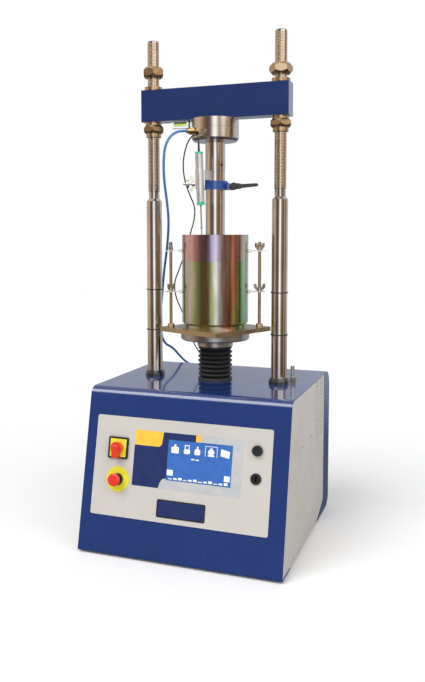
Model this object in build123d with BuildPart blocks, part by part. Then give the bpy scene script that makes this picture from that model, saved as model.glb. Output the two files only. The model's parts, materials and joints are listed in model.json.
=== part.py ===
from build123d import *
from math import cos, pi, radians, sin, tan
import os

os.makedirs("parts", exist_ok=True)

# California Bearing Ratio tester, millimetres, +Z up.
# The origin is the centre of the cabinet's footprint, on the floor.
# The operator stands on the -Y side, in front of the leaning control panel.

# Cabinet
cabinet_w = 508.0
cabinet_depth = 516.0
cabinet_h = 389.0
foot_h = 5.0
foot_r = 18.0
foot_inset = 42.0
sheet_t = 2.5
front_lean = 12.1
front_low_bend_r = 3.0
front_bend_r = 22.0
front_return = 71.0
rear_bend_r = 45.0
rear_low_bend_r = 30.0
rear_flange = 68.0
rear_return = 143.0
rear_flange_step = 34.0
seam_gap = 0.4
panel_sheet_t = 1.5
panel_inset = 1.0

# Louvres in the side panels
louvre_rows = 15
louvre_pitch = 10.4
louvre_l = 44.0
louvre_w = 1.8
louvre_gap = 54.0
louvre_inset = 65.0
louvre_z = 308.0

# Control panel on the leaning front, placed from the front's lower edge
plate_margin_left = 26.5
plate_margin_right = 38.5
plate_h = 236.0
plate_s = 208.5
plate_t = 2.0
plate_corner_r = 5.0
window_margin = 12.0
screen_w = 160.0
screen_h = 94.0
screen_x = 42.0
screen_s = 235.5
screen_t = 14.0
screen_sink = 0.6
device_gap = 0.25

# Main switch
switch_inset = 62.0
switch_s = 251.5
switch_side = 51.0
switch_frame_t = 5.0
switch_plate_side = 43.0
switch_sink = 1.2
switch_body_side = 40.0
switch_body_depth = 46.0
switch_disc_r = 14.0
switch_disc_t = 6.0
switch_grip_w = 16.0
switch_grip_reach = 24.0
switch_grip_corner = 4.0
switch_grip_h = 13.0
switch_spindle_r = 4.0

# Emergency stop
estop_inset = 66.0
estop_s = 177.5
estop_disc_r = 30.0
estop_disc_t = 1.5
estop_collar_r = 14.5
estop_collar_t = 7.0
estop_body_r = 11.0
estop_body_depth = 45.0
estop_travel = 4.0
estop_stem_r = 6.0
estop_stem_l = 22.0
estop_head_r = 15.0
estop_neck_r = 10.5
estop_head_t = 14.0
estop_head_gap = 1.0

# Round sockets on the control panel
socket_inset = 34.8
socket_upper_s = 276.8
socket_lower_s = 214.4
socket_r = 12.5
socket_flange_t = 3.0
socket_body_r = 10.0
socket_depth = 22.0
socket_cap_t = 4.5
port_w = 5.0
port_l = 13.0
port_depth = 12.0

# Load frame
load_axis_y = 19.0
column_pitch = 341.0
column_r = 20.0
column_shoulder_lift = 460.5
column_neck_r = 13.8
column_taper = 7.0
column_neck_l = 18.0
rod_r = 14.75
rod_tip = 2.0
rod_end_l = 66.5
platform_t = 30.0
platform_over = 30.0
platform_depth = 150.0
stub_r = 15.0
stub_fit = 0.1
nut_af = 50.0
nut_h = 26.0
nut_fit = 0.05
nut_end_r = 20.5
nut_chamfer_h = 7.0
left_nut_turn = -6.0
right_nut_turn = 15.0
left_beam_nut_turn = -8.0
right_beam_nut_turn = -15.0
foot_ring_r = 26.0
foot_ring_top_r = 23.0
foot_ring_h = 14.0
marker_r = 21.8
marker_t = 2.6
marker_low_lift = 122.0
marker_high_lift = 228.0

# Crosshead
crosshead_over = 25.5
crosshead_t = 46.0
crosshead_lift = 664.0
crosshead_h = 81.0
crosshead_edge = 1.2
crosshead_hole_fit = 0.5
washer_r = 23.0
washer_t = 9.0
left_nut_lift = 33.0
right_nut_lift = 19.0
beam_collar_r = 20.5
beam_collar_t = 8.0
beam_nut_h = 20.0
beam_neck_r = 19.5
beam_neck_t = 10.0

# Load cell under the crosshead
cell_r = 60.0
cell_h = 55.5
cell_cap_h = 23.0
cell_rim_h = 6.0
cell_bottom_r = 55.0
cell_groove = 1.5
cell_plug_r = 8.5
cell_plug_t = 2.0
cell_plug_ring_r = 5.5
cell_plug_turn = 260.0
cell_port_lift = 21.5
cell_plug_lift = 19.0
gland_turn = 230.4
gland_seat = 57.0
gland_r = 5.5
gland_thread_l = 7.0
gland_hex_af = 16.0
gland_hex_l = 10.0
gland_dome_r = 6.8
gland_dome_l = 9.0
gland_hold = 7.0

# Spirit level under the crosshead
level_x = -88.5
level_l = 46.0
level_t = 14.0
level_h = 20.0
level_y = -13.0
vial_r = 5.0
vial_l = 35.0
vial_fit = 0.1

# Piston and its adapter
adapter_r = 25.4
adapter_h = 73.5
tommy_r = 3.8
tommy_depth = 16.0
tommy_drop = 59.5
tommy_turn = -30.8
piston_r = 24.82
piston_l = 269.0

# Clamp ring on the piston, its lever and the transducer bracket
clamp_turn = 19.8
clamp_drop = 48.0
ring_h = 22.0
ring_r = 31.0
ring_fit = 0.07
ear_t = 8.0
ear_gap = 3.0
ear_root = 29.0
ear_shoulder = 37.0
ear_r = 8.0
clamp_screw_x = 46.0
clamp_screw_r = 4.0
screw_fit = 0.08
clamp_screw_over = 6.0
boss_turn = 240.0
boss_reach = 39.0
boss_w = 14.0
hub_r = 9.2
hub_l = 24.0
hub_gap = 0.3
lever_reach = 58.0
lever_rise = 3.5
lever_eye_r = 8.0
lever_neck_l = 15.0
lever_neck_r = 6.8
lever_root_r = 5.0
lever_tip_r = 3.8
lever_t = 9.0
lever_edge = 1.5
bar_w = 12.0
bar_h = 24.0
bar_start = 26.8
bar_reach = 62.0
block_w = 24.0
block_t = 17.0
saddle_depth = 3.0
tube_x = -35.9
tube_y = -73.0
tube_drop = 40.8
tube_tilt = 1.95
tube_r = 9.75
tube_bore_r = 6.5
tube_l = 116.0
tube_fit = 0.05
cap_r = 10.1
low_cap_t = 8.0
top_cap_t = 5.0
bush_r = 3.2
bush_l = 3.0
relief_r = 2.9
relief_top_r = 2.2
relief_l = 22.0
clamp_stud_y = -57.0
clamp_stud_lift = 11.4
clamp_stud_r = 2.6
clamp_stud_end = -80.0
knurl_r = 9.5
knurl_t = 7.5
knurl_end = -64.5

# Transducer spindle
spindle_r = 2.0
spindle_fit = 0.05
spindle_l = 103.0
joint_r = 2.7
joint_l = 5.0
needle_r = 1.5
needle_l = 12.0
tip_r = 2.4
rim_gap = 0.3

# Ram, bellows and platen
ram_r = 25.0
ram_fit = 0.06
ram_l = 294.0
ram_well_over = 48.0
well_r = 27.0
cover_hole_r = 31.0
bellows_r = 44.5
bellows_root_r = 37.5
bellows_bore_r = 34.0
bellows_h = 85.8
bellows_folds = 7
seat_gap = 0.2
holder_r = 46.0
holder_h = 19.0
holder_groove = 2.0
platen_r = 88.5
platen_h = 20.0
platen_edge = 3.0

# Drive unit inside the cabinet
tray_t = 3.0
tray_lip = 20.0
tray_margin = 34.0
housing_r = 72.0
gearbox_w = 120.0
gearbox_depth = 100.0
gearbox_h = 96.0
motor_r = 42.0
motor_l = 120.0

# Mould on the platen
mould_turn = 19.8
mould_plate_side = 203.0
mould_plate_t = 11.0
plate_bore_r = 2.0
plate_bore_rings = 2
plate_bore_step = 22.0
mould_bore_r = 76.2
mould_r = 85.0
mould_foot_r = 79.0
mould_foot_h = 11.0
mould_h = 178.0
spigot_h = 7.0
spigot_r = 80.8
collar_fit = 0.2
collar_h = 66.5
stud_pitch_r = 114.3
stud_r = 4.0
stud_h = 219.0
stud_nut_af = 15.5
stud_nut_h = 8.0
lug_low_z = 92.0
lug_high_z = 197.0
lug_t = 2.0
lug_w = 16.0
lug_reach = 129.0
lug_boss_reach = 93.0
lug_boss_w = 11.0
lug_boss_h = 9.0
lug_slot_r = 4.5
lug_hold = 0.5
wing_bore_fit = 0.06
wing_hub_r = 6.0
wing_hub_h = 8.0
wing_span = 15.0
wing_top = 19.0
wing_flare = 0.5
wing_t = 3.0
bracket_wing_span = 19.0
bracket_wing_top = 12.5
wing_gap = 0.3

# Cables, plugs and rear sockets
cell_cable_r = 3.25
signal_cable_r = 1.7
cell_socket_x = -129.0
cell_socket_z = 272.0
cell_jack_r = 11.0
cell_plug_l = 31.0
cell_plug_body_r = 9.0
signal_socket_x = -55.0
signal_socket_z = 277.0
signal_jack_r = 9.0
signal_plug_l = 17.0
signal_plug_body_r = 6.5
jack_depth = 26.0
plug_hold = 4.0
inlet_x = 120.0
inlet_z = 95.0
inlet_w = 48.0
inlet_h = 28.0
inlet_depth = 34.0
inlet_cup_w = 25.0
inlet_cup_h = 17.0
inlet_cup_depth = 18.0
blade_w = 2.0
blade_h = 5.0
blade_pitch = 7.0
blade_l = 12.0

# Small stop post on the cabinet top
post_beside = 29.5
post_y = 44.0
post_r = 5.2
post_h = 40.3
post_neck_r = 3.6
post_neck_z = 26.0
post_neck_l = 3.5
post_nut_af = 16.5
post_nut_h = 13.0


def at_axis(turn, x, y, z):
    """A point given in a frame turned about the load axis."""
    a = radians(turn)
    return Vector(x * cos(a) - y * sin(a), load_axis_y + x * sin(a) + y * cos(a), z)


def level(z, turn=0):
    """A horizontal plane on the load axis, turned about it."""
    a = radians(turn)
    return Plane(origin=(0, load_axis_y, z), x_dir=(cos(a), sin(a), 0), z_dir=(0, 0, 1))


def upright(turn, x=0, y=0, z=0):
    """An upright plane on the load axis: x along the turned direction, y up."""
    a = radians(turn)
    return Plane(origin=at_axis(turn, x, y, z), x_dir=(cos(a), sin(a), 0), z_dir=(sin(a), -cos(a), 0))


def outward(turn, reach, z):
    """A plane that faces away from the load axis."""
    a = radians(turn)
    return Plane(origin=at_axis(turn, reach, 0, z), x_dir=(-sin(a), cos(a), 0), z_dir=(cos(a), sin(a), 0))


# Lines that the cabinet's sheets share
lean = radians(front_lean)
front_y = -cabinet_depth / 2 - front_low_bend_r * (1 + sin(lean) - cos(lean)) / cos(lean)
rear_y = cabinet_depth / 2
front_top_y = front_y + (cabinet_h - foot_h) * tan(lean)
split_y = rear_y - rear_flange
louvre_y = split_y - louvre_inset
panel_outer_x = cabinet_w / 2 - panel_inset
panel_inner_x = panel_outer_x - panel_sheet_t
platform_z = cabinet_h - sheet_t - platform_t
tray_z = foot_h + sheet_t
plate_left_x = plate_margin_left - cabinet_w / 2
plate_right_x = cabinet_w / 2 - plate_margin_right
plate_w = plate_right_x - plate_left_x
plate_x = (plate_left_x + plate_right_x) / 2
switch_x = plate_left_x + switch_inset
estop_x = plate_left_x + estop_inset
socket_x = plate_right_x - socket_inset
column_x = column_pitch / 2
post_x = column_x + post_beside
platform_w = column_pitch + 2 * platform_over
crosshead_l = column_pitch + 2 * crosshead_over

# Heights that the load frame's pieces share, from the cabinet's top up
crosshead_z = cabinet_h + crosshead_lift
crosshead_top_z = crosshead_z + crosshead_h
rod_top_z = crosshead_top_z + left_nut_lift + nut_h + rod_end_l
cell_z = crosshead_z - cell_h
adapter_z = cell_z - adapter_h
clamp_z = adapter_z - clamp_drop
tube_z = clamp_z - tube_drop
clamp_stud_z = clamp_z + clamp_stud_lift
platen_z = cabinet_h + bellows_h + seat_gap + holder_h
ram_z = platen_z - ram_l

front_face = Plane(origin=(0, front_y, foot_h), x_dir=(1, 0, 0), z_dir=(0, -cos(lean), sin(lean)))
plate_face = front_face.offset(plate_t)

# Front and top of the cabinet, one folded sheet with a return under the floor
with BuildPart() as front_cover:
    with BuildSketch(Plane.YZ.offset(-cabinet_w / 2)):
        with BuildLine():
            FilletPolyline(
                (front_y + front_return, foot_h),
                (front_y, foot_h),
                (front_top_y, cabinet_h),
                (split_y, cabinet_h),
                radius=[front_low_bend_r, front_bend_r],
            )
            offset(amount=sheet_t, side=Side.RIGHT)
        make_face()
    extrude(amount=cabinet_w)
    with BuildSketch(front_face):
        with Locations((plate_x, plate_s)):
            Rectangle(plate_w - 2 * window_margin, plate_h - 2 * window_margin)
    extrude(amount=-3 * sheet_t, mode=Mode.SUBTRACT)
    with BuildSketch(level(cabinet_h + sheet_t)):
        Circle(cover_hole_r)
        with Locations((-column_x, 0), (column_x, 0)):
            Circle(column_r + stub_fit)
        with Locations((post_x, post_y - load_axis_y)):
            Circle(post_r + stub_fit)
    extrude(amount=-3 * sheet_t, mode=Mode.SUBTRACT)
front_cover.part.label = "front_cover"

# Back of the cabinet, a drawn tray with rounded upper and lower rear corners
with BuildPart() as rear_cover:
    with BuildSketch(Plane.YZ.offset(-cabinet_w / 2)):
        with BuildLine():
            FilletPolyline(
                (split_y, cabinet_h),
                (rear_y, cabinet_h),
                (rear_y, foot_h),
                (rear_y - rear_return, foot_h),
                radius=[rear_bend_r, rear_low_bend_r],
            )
            Polyline(
                (rear_y - rear_return, foot_h),
                (split_y, foot_h + rear_flange_step),
                (split_y, cabinet_h),
            )
        make_face()
    extrude(amount=cabinet_w)
    with BuildSketch(Plane.YZ.offset(-cabinet_w / 2 + sheet_t)):
        with BuildLine():
            FilletPolyline(
                (split_y - rear_return, cabinet_h - sheet_t),
                (rear_y - sheet_t, cabinet_h - sheet_t),
                (rear_y - sheet_t, foot_h + sheet_t),
                (split_y - rear_return, foot_h + sheet_t),
                radius=[rear_bend_r - sheet_t, rear_low_bend_r - sheet_t],
            )
            Line(
                (split_y - rear_return, foot_h + sheet_t),
                (split_y - rear_return, cabinet_h - sheet_t),
            )
        make_face()
    extrude(amount=cabinet_w - 2 * sheet_t, mode=Mode.SUBTRACT)
    with BuildSketch(Plane.XZ.offset(-rear_y)):
        with Locations((cell_socket_x, cell_socket_z)):
            Circle(cell_jack_r + stub_fit)
        with Locations((signal_socket_x, signal_socket_z)):
            Circle(signal_jack_r + stub_fit)
        with Locations((inlet_x, inlet_z)):
            Rectangle(inlet_w + 2 * stub_fit, inlet_h + 2 * stub_fit)
    extrude(amount=2 * sheet_t, mode=Mode.SUBTRACT)
rear_cover.part.label = "rear_cover"

# Louvred side panels between the folded sheets
lean_shift = (sheet_t + seam_gap) / cos(lean)
panel_low_z = foot_h + sheet_t + seam_gap
panel_top_z = cabinet_h - sheet_t - seam_gap
panel_low_y = front_y + lean_shift + (panel_low_z - foot_h) * tan(lean)
panel_top_y = front_y + lean_shift + (panel_top_z - foot_h) * tan(lean)
panel_rear_y = split_y - seam_gap
step_y = rear_y - rear_return - seam_gap
with BuildPart() as side_panels:
    with BuildSketch(Plane.YZ.offset(panel_inner_x)) as panel_outline:
        with BuildLine():
            Polyline(
                (panel_low_y, panel_low_z),
                (panel_top_y, panel_top_z),
                (panel_rear_y, panel_top_z),
                (panel_rear_y, foot_h + rear_flange_step),
                (step_y, panel_low_z),
                close=True,
            )
        make_face()
        upper_corners = panel_outline.vertices().group_by(Axis.Y)[-1]
        fillet(upper_corners.sort_by(Axis.X)[0], front_bend_r - sheet_t - seam_gap)
        with Locations((louvre_y, louvre_z)):
            with GridLocations(louvre_gap, louvre_pitch, 2, louvre_rows):
                Rectangle(louvre_l, louvre_w, mode=Mode.SUBTRACT)
    extrude(amount=panel_sheet_t)
    mirror(about=Plane.YZ)
side_panels.part.label = "side_panels"

# Floor tray with upturned lips that carry the side panels
tray_front_y = front_y + tray_margin
tray_rear_y = rear_y - tray_margin
with BuildPart() as base_tray:
    with BuildSketch(Plane.XY.offset(tray_z)):
        with Locations((0, (tray_front_y + tray_rear_y) / 2)):
            Rectangle(2 * panel_inner_x, tray_rear_y - tray_front_y)
    extrude(amount=tray_t)
    with BuildSketch(Plane.XY.offset(tray_z)):
        with Locations((0, (tray_front_y + step_y) / 2)):
            Rectangle(2 * panel_inner_x, step_y - tray_front_y)
            Rectangle(2 * (panel_inner_x - panel_sheet_t), step_y - tray_front_y, mode=Mode.SUBTRACT)
    extrude(amount=tray_lip)
    with BuildSketch(Plane.XY.offset(tray_z + tray_t)):
        with Locations((0, (tray_rear_y + step_y) / 2)):
            Rectangle(2 * panel_inner_x, tray_rear_y - step_y)
            Rectangle(2 * (panel_inner_x - sheet_t), tray_rear_y - step_y, mode=Mode.SUBTRACT)
    extrude(amount=-tray_t, mode=Mode.SUBTRACT)
base_tray.part.label = "base_tray"

with BuildPart() as rubber_feet:
    foot_x = cabinet_w / 2 - foot_inset
    foot_front_y = front_y + foot_inset
    foot_rear_y = rear_y - rear_low_bend_r - foot_inset
    with BuildSketch(Plane.XY):
        with Locations(
            (-foot_x, foot_front_y), (foot_x, foot_front_y), (-foot_x, foot_rear_y), (foot_x, foot_rear_y)
        ):
            Circle(foot_r)
    extrude(amount=foot_h)
rubber_feet.part.label = "rubber_feet"

# Control panel plate over the window in the front sheet
with BuildPart() as control_panel:
    with BuildSketch(front_face):
        with Locations((plate_x, plate_s)):
            RectangleRounded(plate_w, plate_h, plate_corner_r)
        with Locations((screen_x, screen_s)):
            Rectangle(screen_w + 2 * device_gap, screen_h + 2 * device_gap, mode=Mode.SUBTRACT)
        with Locations((switch_x, switch_s), (estop_x, estop_s)):
            Circle(estop_body_r + device_gap, mode=Mode.SUBTRACT)
        with Locations((socket_x, socket_upper_s), (socket_x, socket_lower_s)):
            Circle(socket_body_r + device_gap, mode=Mode.SUBTRACT)
    extrude(amount=plate_t)
control_panel.part.label = "control_panel"

with BuildPart() as touch_screen:
    with BuildSketch(plate_face.offset(-screen_sink)):
        with Locations((screen_x, screen_s)):
            Rectangle(screen_w, screen_h)
    extrude(amount=-screen_t)
    with BuildSketch(front_face):
        with Locations((screen_x, screen_s)):
            Rectangle(screen_w + window_margin, screen_h + window_margin)
    extrude(amount=-(screen_t - plate_t))
touch_screen.part.label = "touch_screen"

# Main switch: square frame, contact block behind the plate and a turning handle
switch_face = plate_face.offset(switch_frame_t)
with BuildPart() as main_switch_frame:
    with BuildSketch(plate_face):
        with Locations((switch_x, switch_s)):
            RectangleRounded(switch_side, switch_side, 3 * switch_sink)
    extrude(amount=switch_frame_t)
    with BuildSketch(switch_face):
        with Locations((switch_x, switch_s)):
            Rectangle(switch_plate_side, switch_plate_side)
    extrude(amount=-switch_sink, mode=Mode.SUBTRACT)
    with BuildSketch(plate_face):
        with Locations((switch_x, switch_s)):
            Circle(estop_body_r)
    extrude(amount=-plate_t)
    with BuildSketch(front_face):
        with Locations((switch_x, switch_s)):
            Rectangle(switch_body_side, switch_body_side)
    extrude(amount=-switch_body_depth)
    with BuildSketch(switch_face):
        with Locations((switch_x, switch_s)):
            Circle(switch_spindle_r + spindle_fit)
    extrude(amount=-2 * switch_frame_t, mode=Mode.SUBTRACT)
main_switch_frame.part.label = "main_switch_frame"

handle_face = switch_face.offset(device_gap)
with BuildPart() as main_switch_handle:
    with BuildSketch(handle_face):
        with Locations((switch_x, switch_s)):
            Circle(switch_disc_r)
    extrude(amount=switch_disc_t + switch_grip_h / 2)
    with BuildSketch(handle_face):
        with Locations((switch_x, switch_s + (switch_disc_r / 2 - switch_grip_reach) / 2)):
            RectangleRounded(switch_grip_w, switch_grip_reach + switch_disc_r / 2, switch_grip_corner)
    extrude(amount=switch_disc_t + switch_grip_h)
    handle_tip = main_switch_handle.faces().sort_by(Axis(switch_face.origin, switch_face.z_dir))[-1]
    fillet(handle_tip.edges(), switch_grip_corner / 2)
    with BuildSketch(handle_face):
        with Locations((switch_x, switch_s)):
            Circle(switch_spindle_r)
    extrude(amount=-(2 * switch_frame_t - 1))
main_switch_handle.part.label = "main_switch_handle"

# Emergency stop: yellow disc, collar with contact block, pressed stem, twisting head
with BuildPart() as estop_plate:
    with BuildSketch(plate_face):
        with Locations((estop_x, estop_s)):
            Circle(estop_disc_r)
            Circle(estop_body_r + device_gap, mode=Mode.SUBTRACT)
    extrude(amount=estop_disc_t)
estop_plate.part.label = "estop_plate"

estop_face = plate_face.offset(estop_disc_t)
with BuildPart() as estop_body:
    with BuildSketch(estop_face):
        with Locations((estop_x, estop_s)):
            Circle(estop_collar_r)
    extrude(amount=estop_collar_t, taper=8)
    with BuildSketch(estop_face):
        with Locations((estop_x, estop_s)):
            Circle(estop_body_r)
    extrude(amount=-estop_body_depth)
    with BuildSketch(estop_face.offset(estop_collar_t)):
        with Locations((estop_x, estop_s)):
            Circle(estop_stem_r + spindle_fit)
    extrude(amount=-(estop_stem_l + estop_travel + 1), mode=Mode.SUBTRACT)
estop_body.part.label = "estop_body"

head_face = estop_face.offset(estop_collar_t + estop_travel + estop_head_gap)
with BuildPart() as estop_stem:
    with BuildSketch(head_face):
        with Locations((estop_x, estop_s)):
            Circle(estop_stem_r)
    extrude(amount=-estop_stem_l)
    with BuildSketch(head_face):
        with Locations((estop_x, estop_s)):
            Circle(estop_stem_r / 2)
    extrude(amount=estop_head_t / 2)
estop_stem.part.label = "estop_stem"

with BuildPart() as estop_head:
    with BuildSketch(head_face.offset(seat_gap)):
        with Locations((estop_x, estop_s)):
            Circle(estop_neck_r)
    with BuildSketch(head_face.offset(seat_gap + estop_head_t * 0.45)):
        with Locations((estop_x, estop_s)):
            Circle(estop_head_r)
    loft()
    with BuildSketch(head_face.offset(seat_gap + estop_head_t * 0.45)):
        with Locations((estop_x, estop_s)):
            Circle(estop_head_r)
    extrude(amount=estop_head_t * 0.55)
    fillet(estop_head.edges().sort_by(Axis(head_face.origin, head_face.z_dir))[-1], estop_head_t * 0.3)
    with BuildSketch(head_face.offset(seat_gap)):
        with Locations((estop_x, estop_s)):
            Circle(estop_stem_r / 2 + spindle_fit)
    extrude(amount=estop_head_t / 2, mode=Mode.SUBTRACT)
estop_head.part.label = "estop_head"

# Two round sockets at the right of the panel: one capped, one with an open port
with BuildPart() as upper_socket:
    with BuildSketch(plate_face):
        with Locations((socket_x, socket_upper_s)):
            Circle(socket_r)
    extrude(amount=socket_flange_t + socket_cap_t, taper=6)
    with BuildSketch(plate_face):
        with Locations((socket_x, socket_upper_s)):
            Circle(socket_body_r)
    extrude(amount=-socket_depth)
upper_socket.part.label = "upper_socket"

with BuildPart() as lower_socket:
    with BuildSketch(plate_face):
        with Locations((socket_x, socket_lower_s)):
            Circle(socket_r)
    extrude(amount=socket_flange_t)
    with BuildSketch(plate_face):
        with Locations((socket_x, socket_lower_s)):
            Circle(socket_body_r)
    extrude(amount=-socket_depth)
    with BuildSketch(plate_face.offset(socket_flange_t)):
        with Locations((socket_x, socket_lower_s)):
            Rectangle(port_w, port_l)
    extrude(amount=-port_depth, mode=Mode.SUBTRACT)
lower_socket.part.label = "lower_socket"

# Sockets in the back of the cabinet, flush with the sheet
with BuildPart() as rear_sockets:
    with BuildSketch(Plane.XZ.offset(-rear_y)):
        with Locations((cell_socket_x, cell_socket_z)):
            Circle(cell_jack_r)
        with Locations((signal_socket_x, signal_socket_z)):
            Circle(signal_jack_r)
    extrude(amount=jack_depth)
rear_sockets.part.label = "rear_sockets"

with BuildPart() as mains_inlet:
    with BuildSketch(Plane.XZ.offset(-rear_y)):
        with Locations((inlet_x, inlet_z)):
            Rectangle(inlet_w, inlet_h)
    extrude(amount=inlet_depth)
    with BuildSketch(Plane.XZ.offset(-rear_y)):
        with Locations((inlet_x, inlet_z)):
            Rectangle(inlet_cup_w, inlet_cup_h)
    extrude(amount=inlet_cup_depth, mode=Mode.SUBTRACT)
    with BuildSketch(Plane.XZ.offset(-rear_y + inlet_cup_depth)):
        with Locations((inlet_x - blade_pitch, inlet_z - blade_w)):
            Rectangle(blade_w, blade_h)
        with Locations((inlet_x, inlet_z + blade_w)):
            Rectangle(blade_w, blade_h)
        with Locations((inlet_x + blade_pitch, inlet_z - blade_w)):
            Rectangle(blade_w, blade_h)
    extrude(amount=-blade_l)
mains_inlet.part.label = "mains_inlet"

# Platform under the cabinet top that ties the two columns together
with BuildPart() as lower_platform:
    with BuildSketch(level(platform_z)):
        Rectangle(platform_w, platform_depth)
        Circle(ram_r + ram_fit, mode=Mode.SUBTRACT)
        with Locations((-column_x, 0), (column_x, 0)):
            Circle(stub_r + stub_fit, mode=Mode.SUBTRACT)
    extrude(amount=platform_t)
lower_platform.part.label = "lower_platform"

# Screw jack housing with its gearbox and motor, closed inside apart from the ram's well
with BuildPart() as drive_unit:
    with BuildSketch(level(tray_z + tray_t)):
        Circle(housing_r)
    extrude(amount=platform_z - tray_z - tray_t)
    with BuildSketch(level(tray_z + tray_t)):
        with Locations((housing_r, 0)):
            Rectangle(gearbox_w, gearbox_depth)
    extrude(amount=gearbox_h)
    with BuildSketch(outward(0, housing_r + gearbox_w / 2, tray_z + tray_t + gearbox_h / 2)):
        Circle(motor_r)
    extrude(amount=motor_l - gearbox_w / 2)
    with BuildSketch(level(ram_z - ram_well_over)):
        Circle(well_r)
    extrude(amount=platform_z - ram_z + ram_well_over, mode=Mode.SUBTRACT)
drive_unit.part.label = "drive_unit"

# Columns: shoulder on the platform, plain shank, taper, neck and threaded end
platform_top_z = platform_z + platform_t
column_shoulder_z = cabinet_h + column_shoulder_lift
neck_z = column_shoulder_z + column_taper
thread_z = neck_z + column_neck_l
with BuildPart() as columns:
    with BuildSketch(upright(0)):
        with BuildLine():
            Polyline(
                (column_x, platform_z - nut_h - rod_tip),
                (column_x + stub_r, platform_z - nut_h - rod_tip),
                (column_x + stub_r, platform_top_z),
                (column_x + column_r, platform_top_z),
                (column_x + column_r, column_shoulder_z),
                (column_x + column_neck_r, neck_z),
                (column_x + column_neck_r, thread_z),
                (column_x + rod_r, thread_z + (rod_r - column_neck_r)),
                (column_x + rod_r, rod_top_z - rod_tip),
                (column_x + rod_r - rod_tip, rod_top_z),
                (column_x, rod_top_z),
                close=True,
            )
        make_face()
    revolve(axis=Axis((column_x, load_axis_y, 0), (0, 0, 1)))
    mirror(about=Plane.YZ)
columns.part.label = "columns"

with BuildPart() as column_rings:
    for ring_lift in (marker_low_lift, marker_high_lift):
        with BuildSketch(level(cabinet_h + ring_lift)):
            with Locations((-column_x, 0), (column_x, 0)):
                Circle(marker_r)
                Circle(column_r + nut_fit, mode=Mode.SUBTRACT)
        extrude(amount=marker_t)
column_rings.part.label = "column_rings"

with BuildPart() as column_foot_rings:
    with BuildSketch(upright(0)):
        with BuildLine():
            Polyline(
                (column_x + column_r + nut_fit, cabinet_h),
                (column_x + foot_ring_r, cabinet_h),
                (column_x + foot_ring_r, cabinet_h + foot_ring_h * 0.45),
                (column_x + foot_ring_top_r, cabinet_h + foot_ring_h),
                (column_x + column_r + nut_fit, cabinet_h + foot_ring_h),
                close=True,
            )
        make_face()
    revolve(axis=Axis((column_x, load_axis_y, 0), (0, 0, 1)))
    mirror(about=Plane.YZ)
column_foot_rings.part.label = "column_foot_rings"

# Crosshead beam with the two column holes
with BuildPart() as crosshead:
    with BuildSketch(level(crosshead_z)):
        Rectangle(crosshead_l, crosshead_t)
        with Locations((-column_x, 0), (column_x, 0)):
            Circle(rod_r + crosshead_hole_fit, mode=Mode.SUBTRACT)
    extrude(amount=crosshead_h)
    chamfer(crosshead.faces().filter_by(Axis.Y).edges(), crosshead_edge)
crosshead.part.label = "crosshead"


def hex_nut(x, z, height, bore_r, turn):
    """A hexagon nut about a column's axis, chamfered round at both ends."""
    corner_r = nut_af / 2 / cos(radians(30))
    with BuildPart() as nut:
        with BuildSketch(level(z)):
            with Locations((x, 0)):
                Circle(corner_r)
        extrude(amount=height)
        chamfer(nut.edges().filter_by(GeomType.CIRCLE), corner_r - nut_end_r, nut_chamfer_h)
        with BuildSketch(level(z)):
            with Locations((x, 0)):
                RegularPolygon(nut_af / 2, 6, major_radius=False, rotation=turn)
        extrude(amount=height, mode=Mode.INTERSECT)
        with BuildSketch(level(z)):
            with Locations((x, 0)):
                Circle(bore_r)
        extrude(amount=height, mode=Mode.SUBTRACT)
    return nut.part


# Full nuts on the rods, and the nuts that hold the stubs under the platform
rod_bore_r = rod_r + nut_fit
stub_bore_r = stub_r + nut_fit
stub_nut_z = platform_z - nut_h
left_nut = hex_nut(-column_x, crosshead_top_z + left_nut_lift, nut_h, rod_bore_r, left_nut_turn)
right_nut = hex_nut(column_x, crosshead_top_z + right_nut_lift, nut_h, rod_bore_r, right_nut_turn)
left_stub_nut = hex_nut(-column_x, stub_nut_z, nut_h, stub_bore_r, 0)
right_stub_nut = hex_nut(column_x, stub_nut_z, nut_h, stub_bore_r, 0)
with BuildPart() as column_nuts:
    add(left_nut)
    add(right_nut)
    add(left_stub_nut)
    add(right_stub_nut)
column_nuts.part.label = "column_nuts"

with BuildPart() as upper_washers:
    with BuildSketch(level(crosshead_top_z)):
        with Locations((-column_x, 0), (column_x, 0)):
            Circle(washer_r)
            Circle(rod_bore_r, mode=Mode.SUBTRACT)
    extrude(amount=washer_t)
upper_washers.part.label = "upper_washers"

# Collared nuts that carry the crosshead from below
beam_nut_z = crosshead_z - beam_collar_t - beam_nut_h
left_beam_nut = hex_nut(-column_x, beam_nut_z, beam_nut_h, rod_bore_r, left_beam_nut_turn)
right_beam_nut = hex_nut(column_x, beam_nut_z, beam_nut_h, rod_bore_r, right_beam_nut_turn)
with BuildPart() as beam_nuts:
    add(left_beam_nut)
    add(right_beam_nut)
    with BuildSketch(level(crosshead_z)):
        with Locations((-column_x, 0), (column_x, 0)):
            Circle(beam_collar_r)
            Circle(rod_bore_r, mode=Mode.SUBTRACT)
    extrude(amount=-beam_collar_t)
    with BuildSketch(level(beam_nut_z)):
        with Locations((-column_x, 0), (column_x, 0)):
            Circle(beam_neck_r)
            Circle(rod_bore_r, mode=Mode.SUBTRACT)
    extrude(amount=-beam_neck_t)
beam_nuts.part.label = "beam_nuts"

# Load cell: cap against the beam, body with a chamfered lower rim
cap_z = crosshead_z - cell_cap_h
with BuildPart() as load_cell_cap:
    with BuildSketch(level(cap_z)):
        Circle(cell_r)
    extrude(amount=cell_cap_h)
load_cell_cap.part.label = "load_cell_cap"

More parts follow.
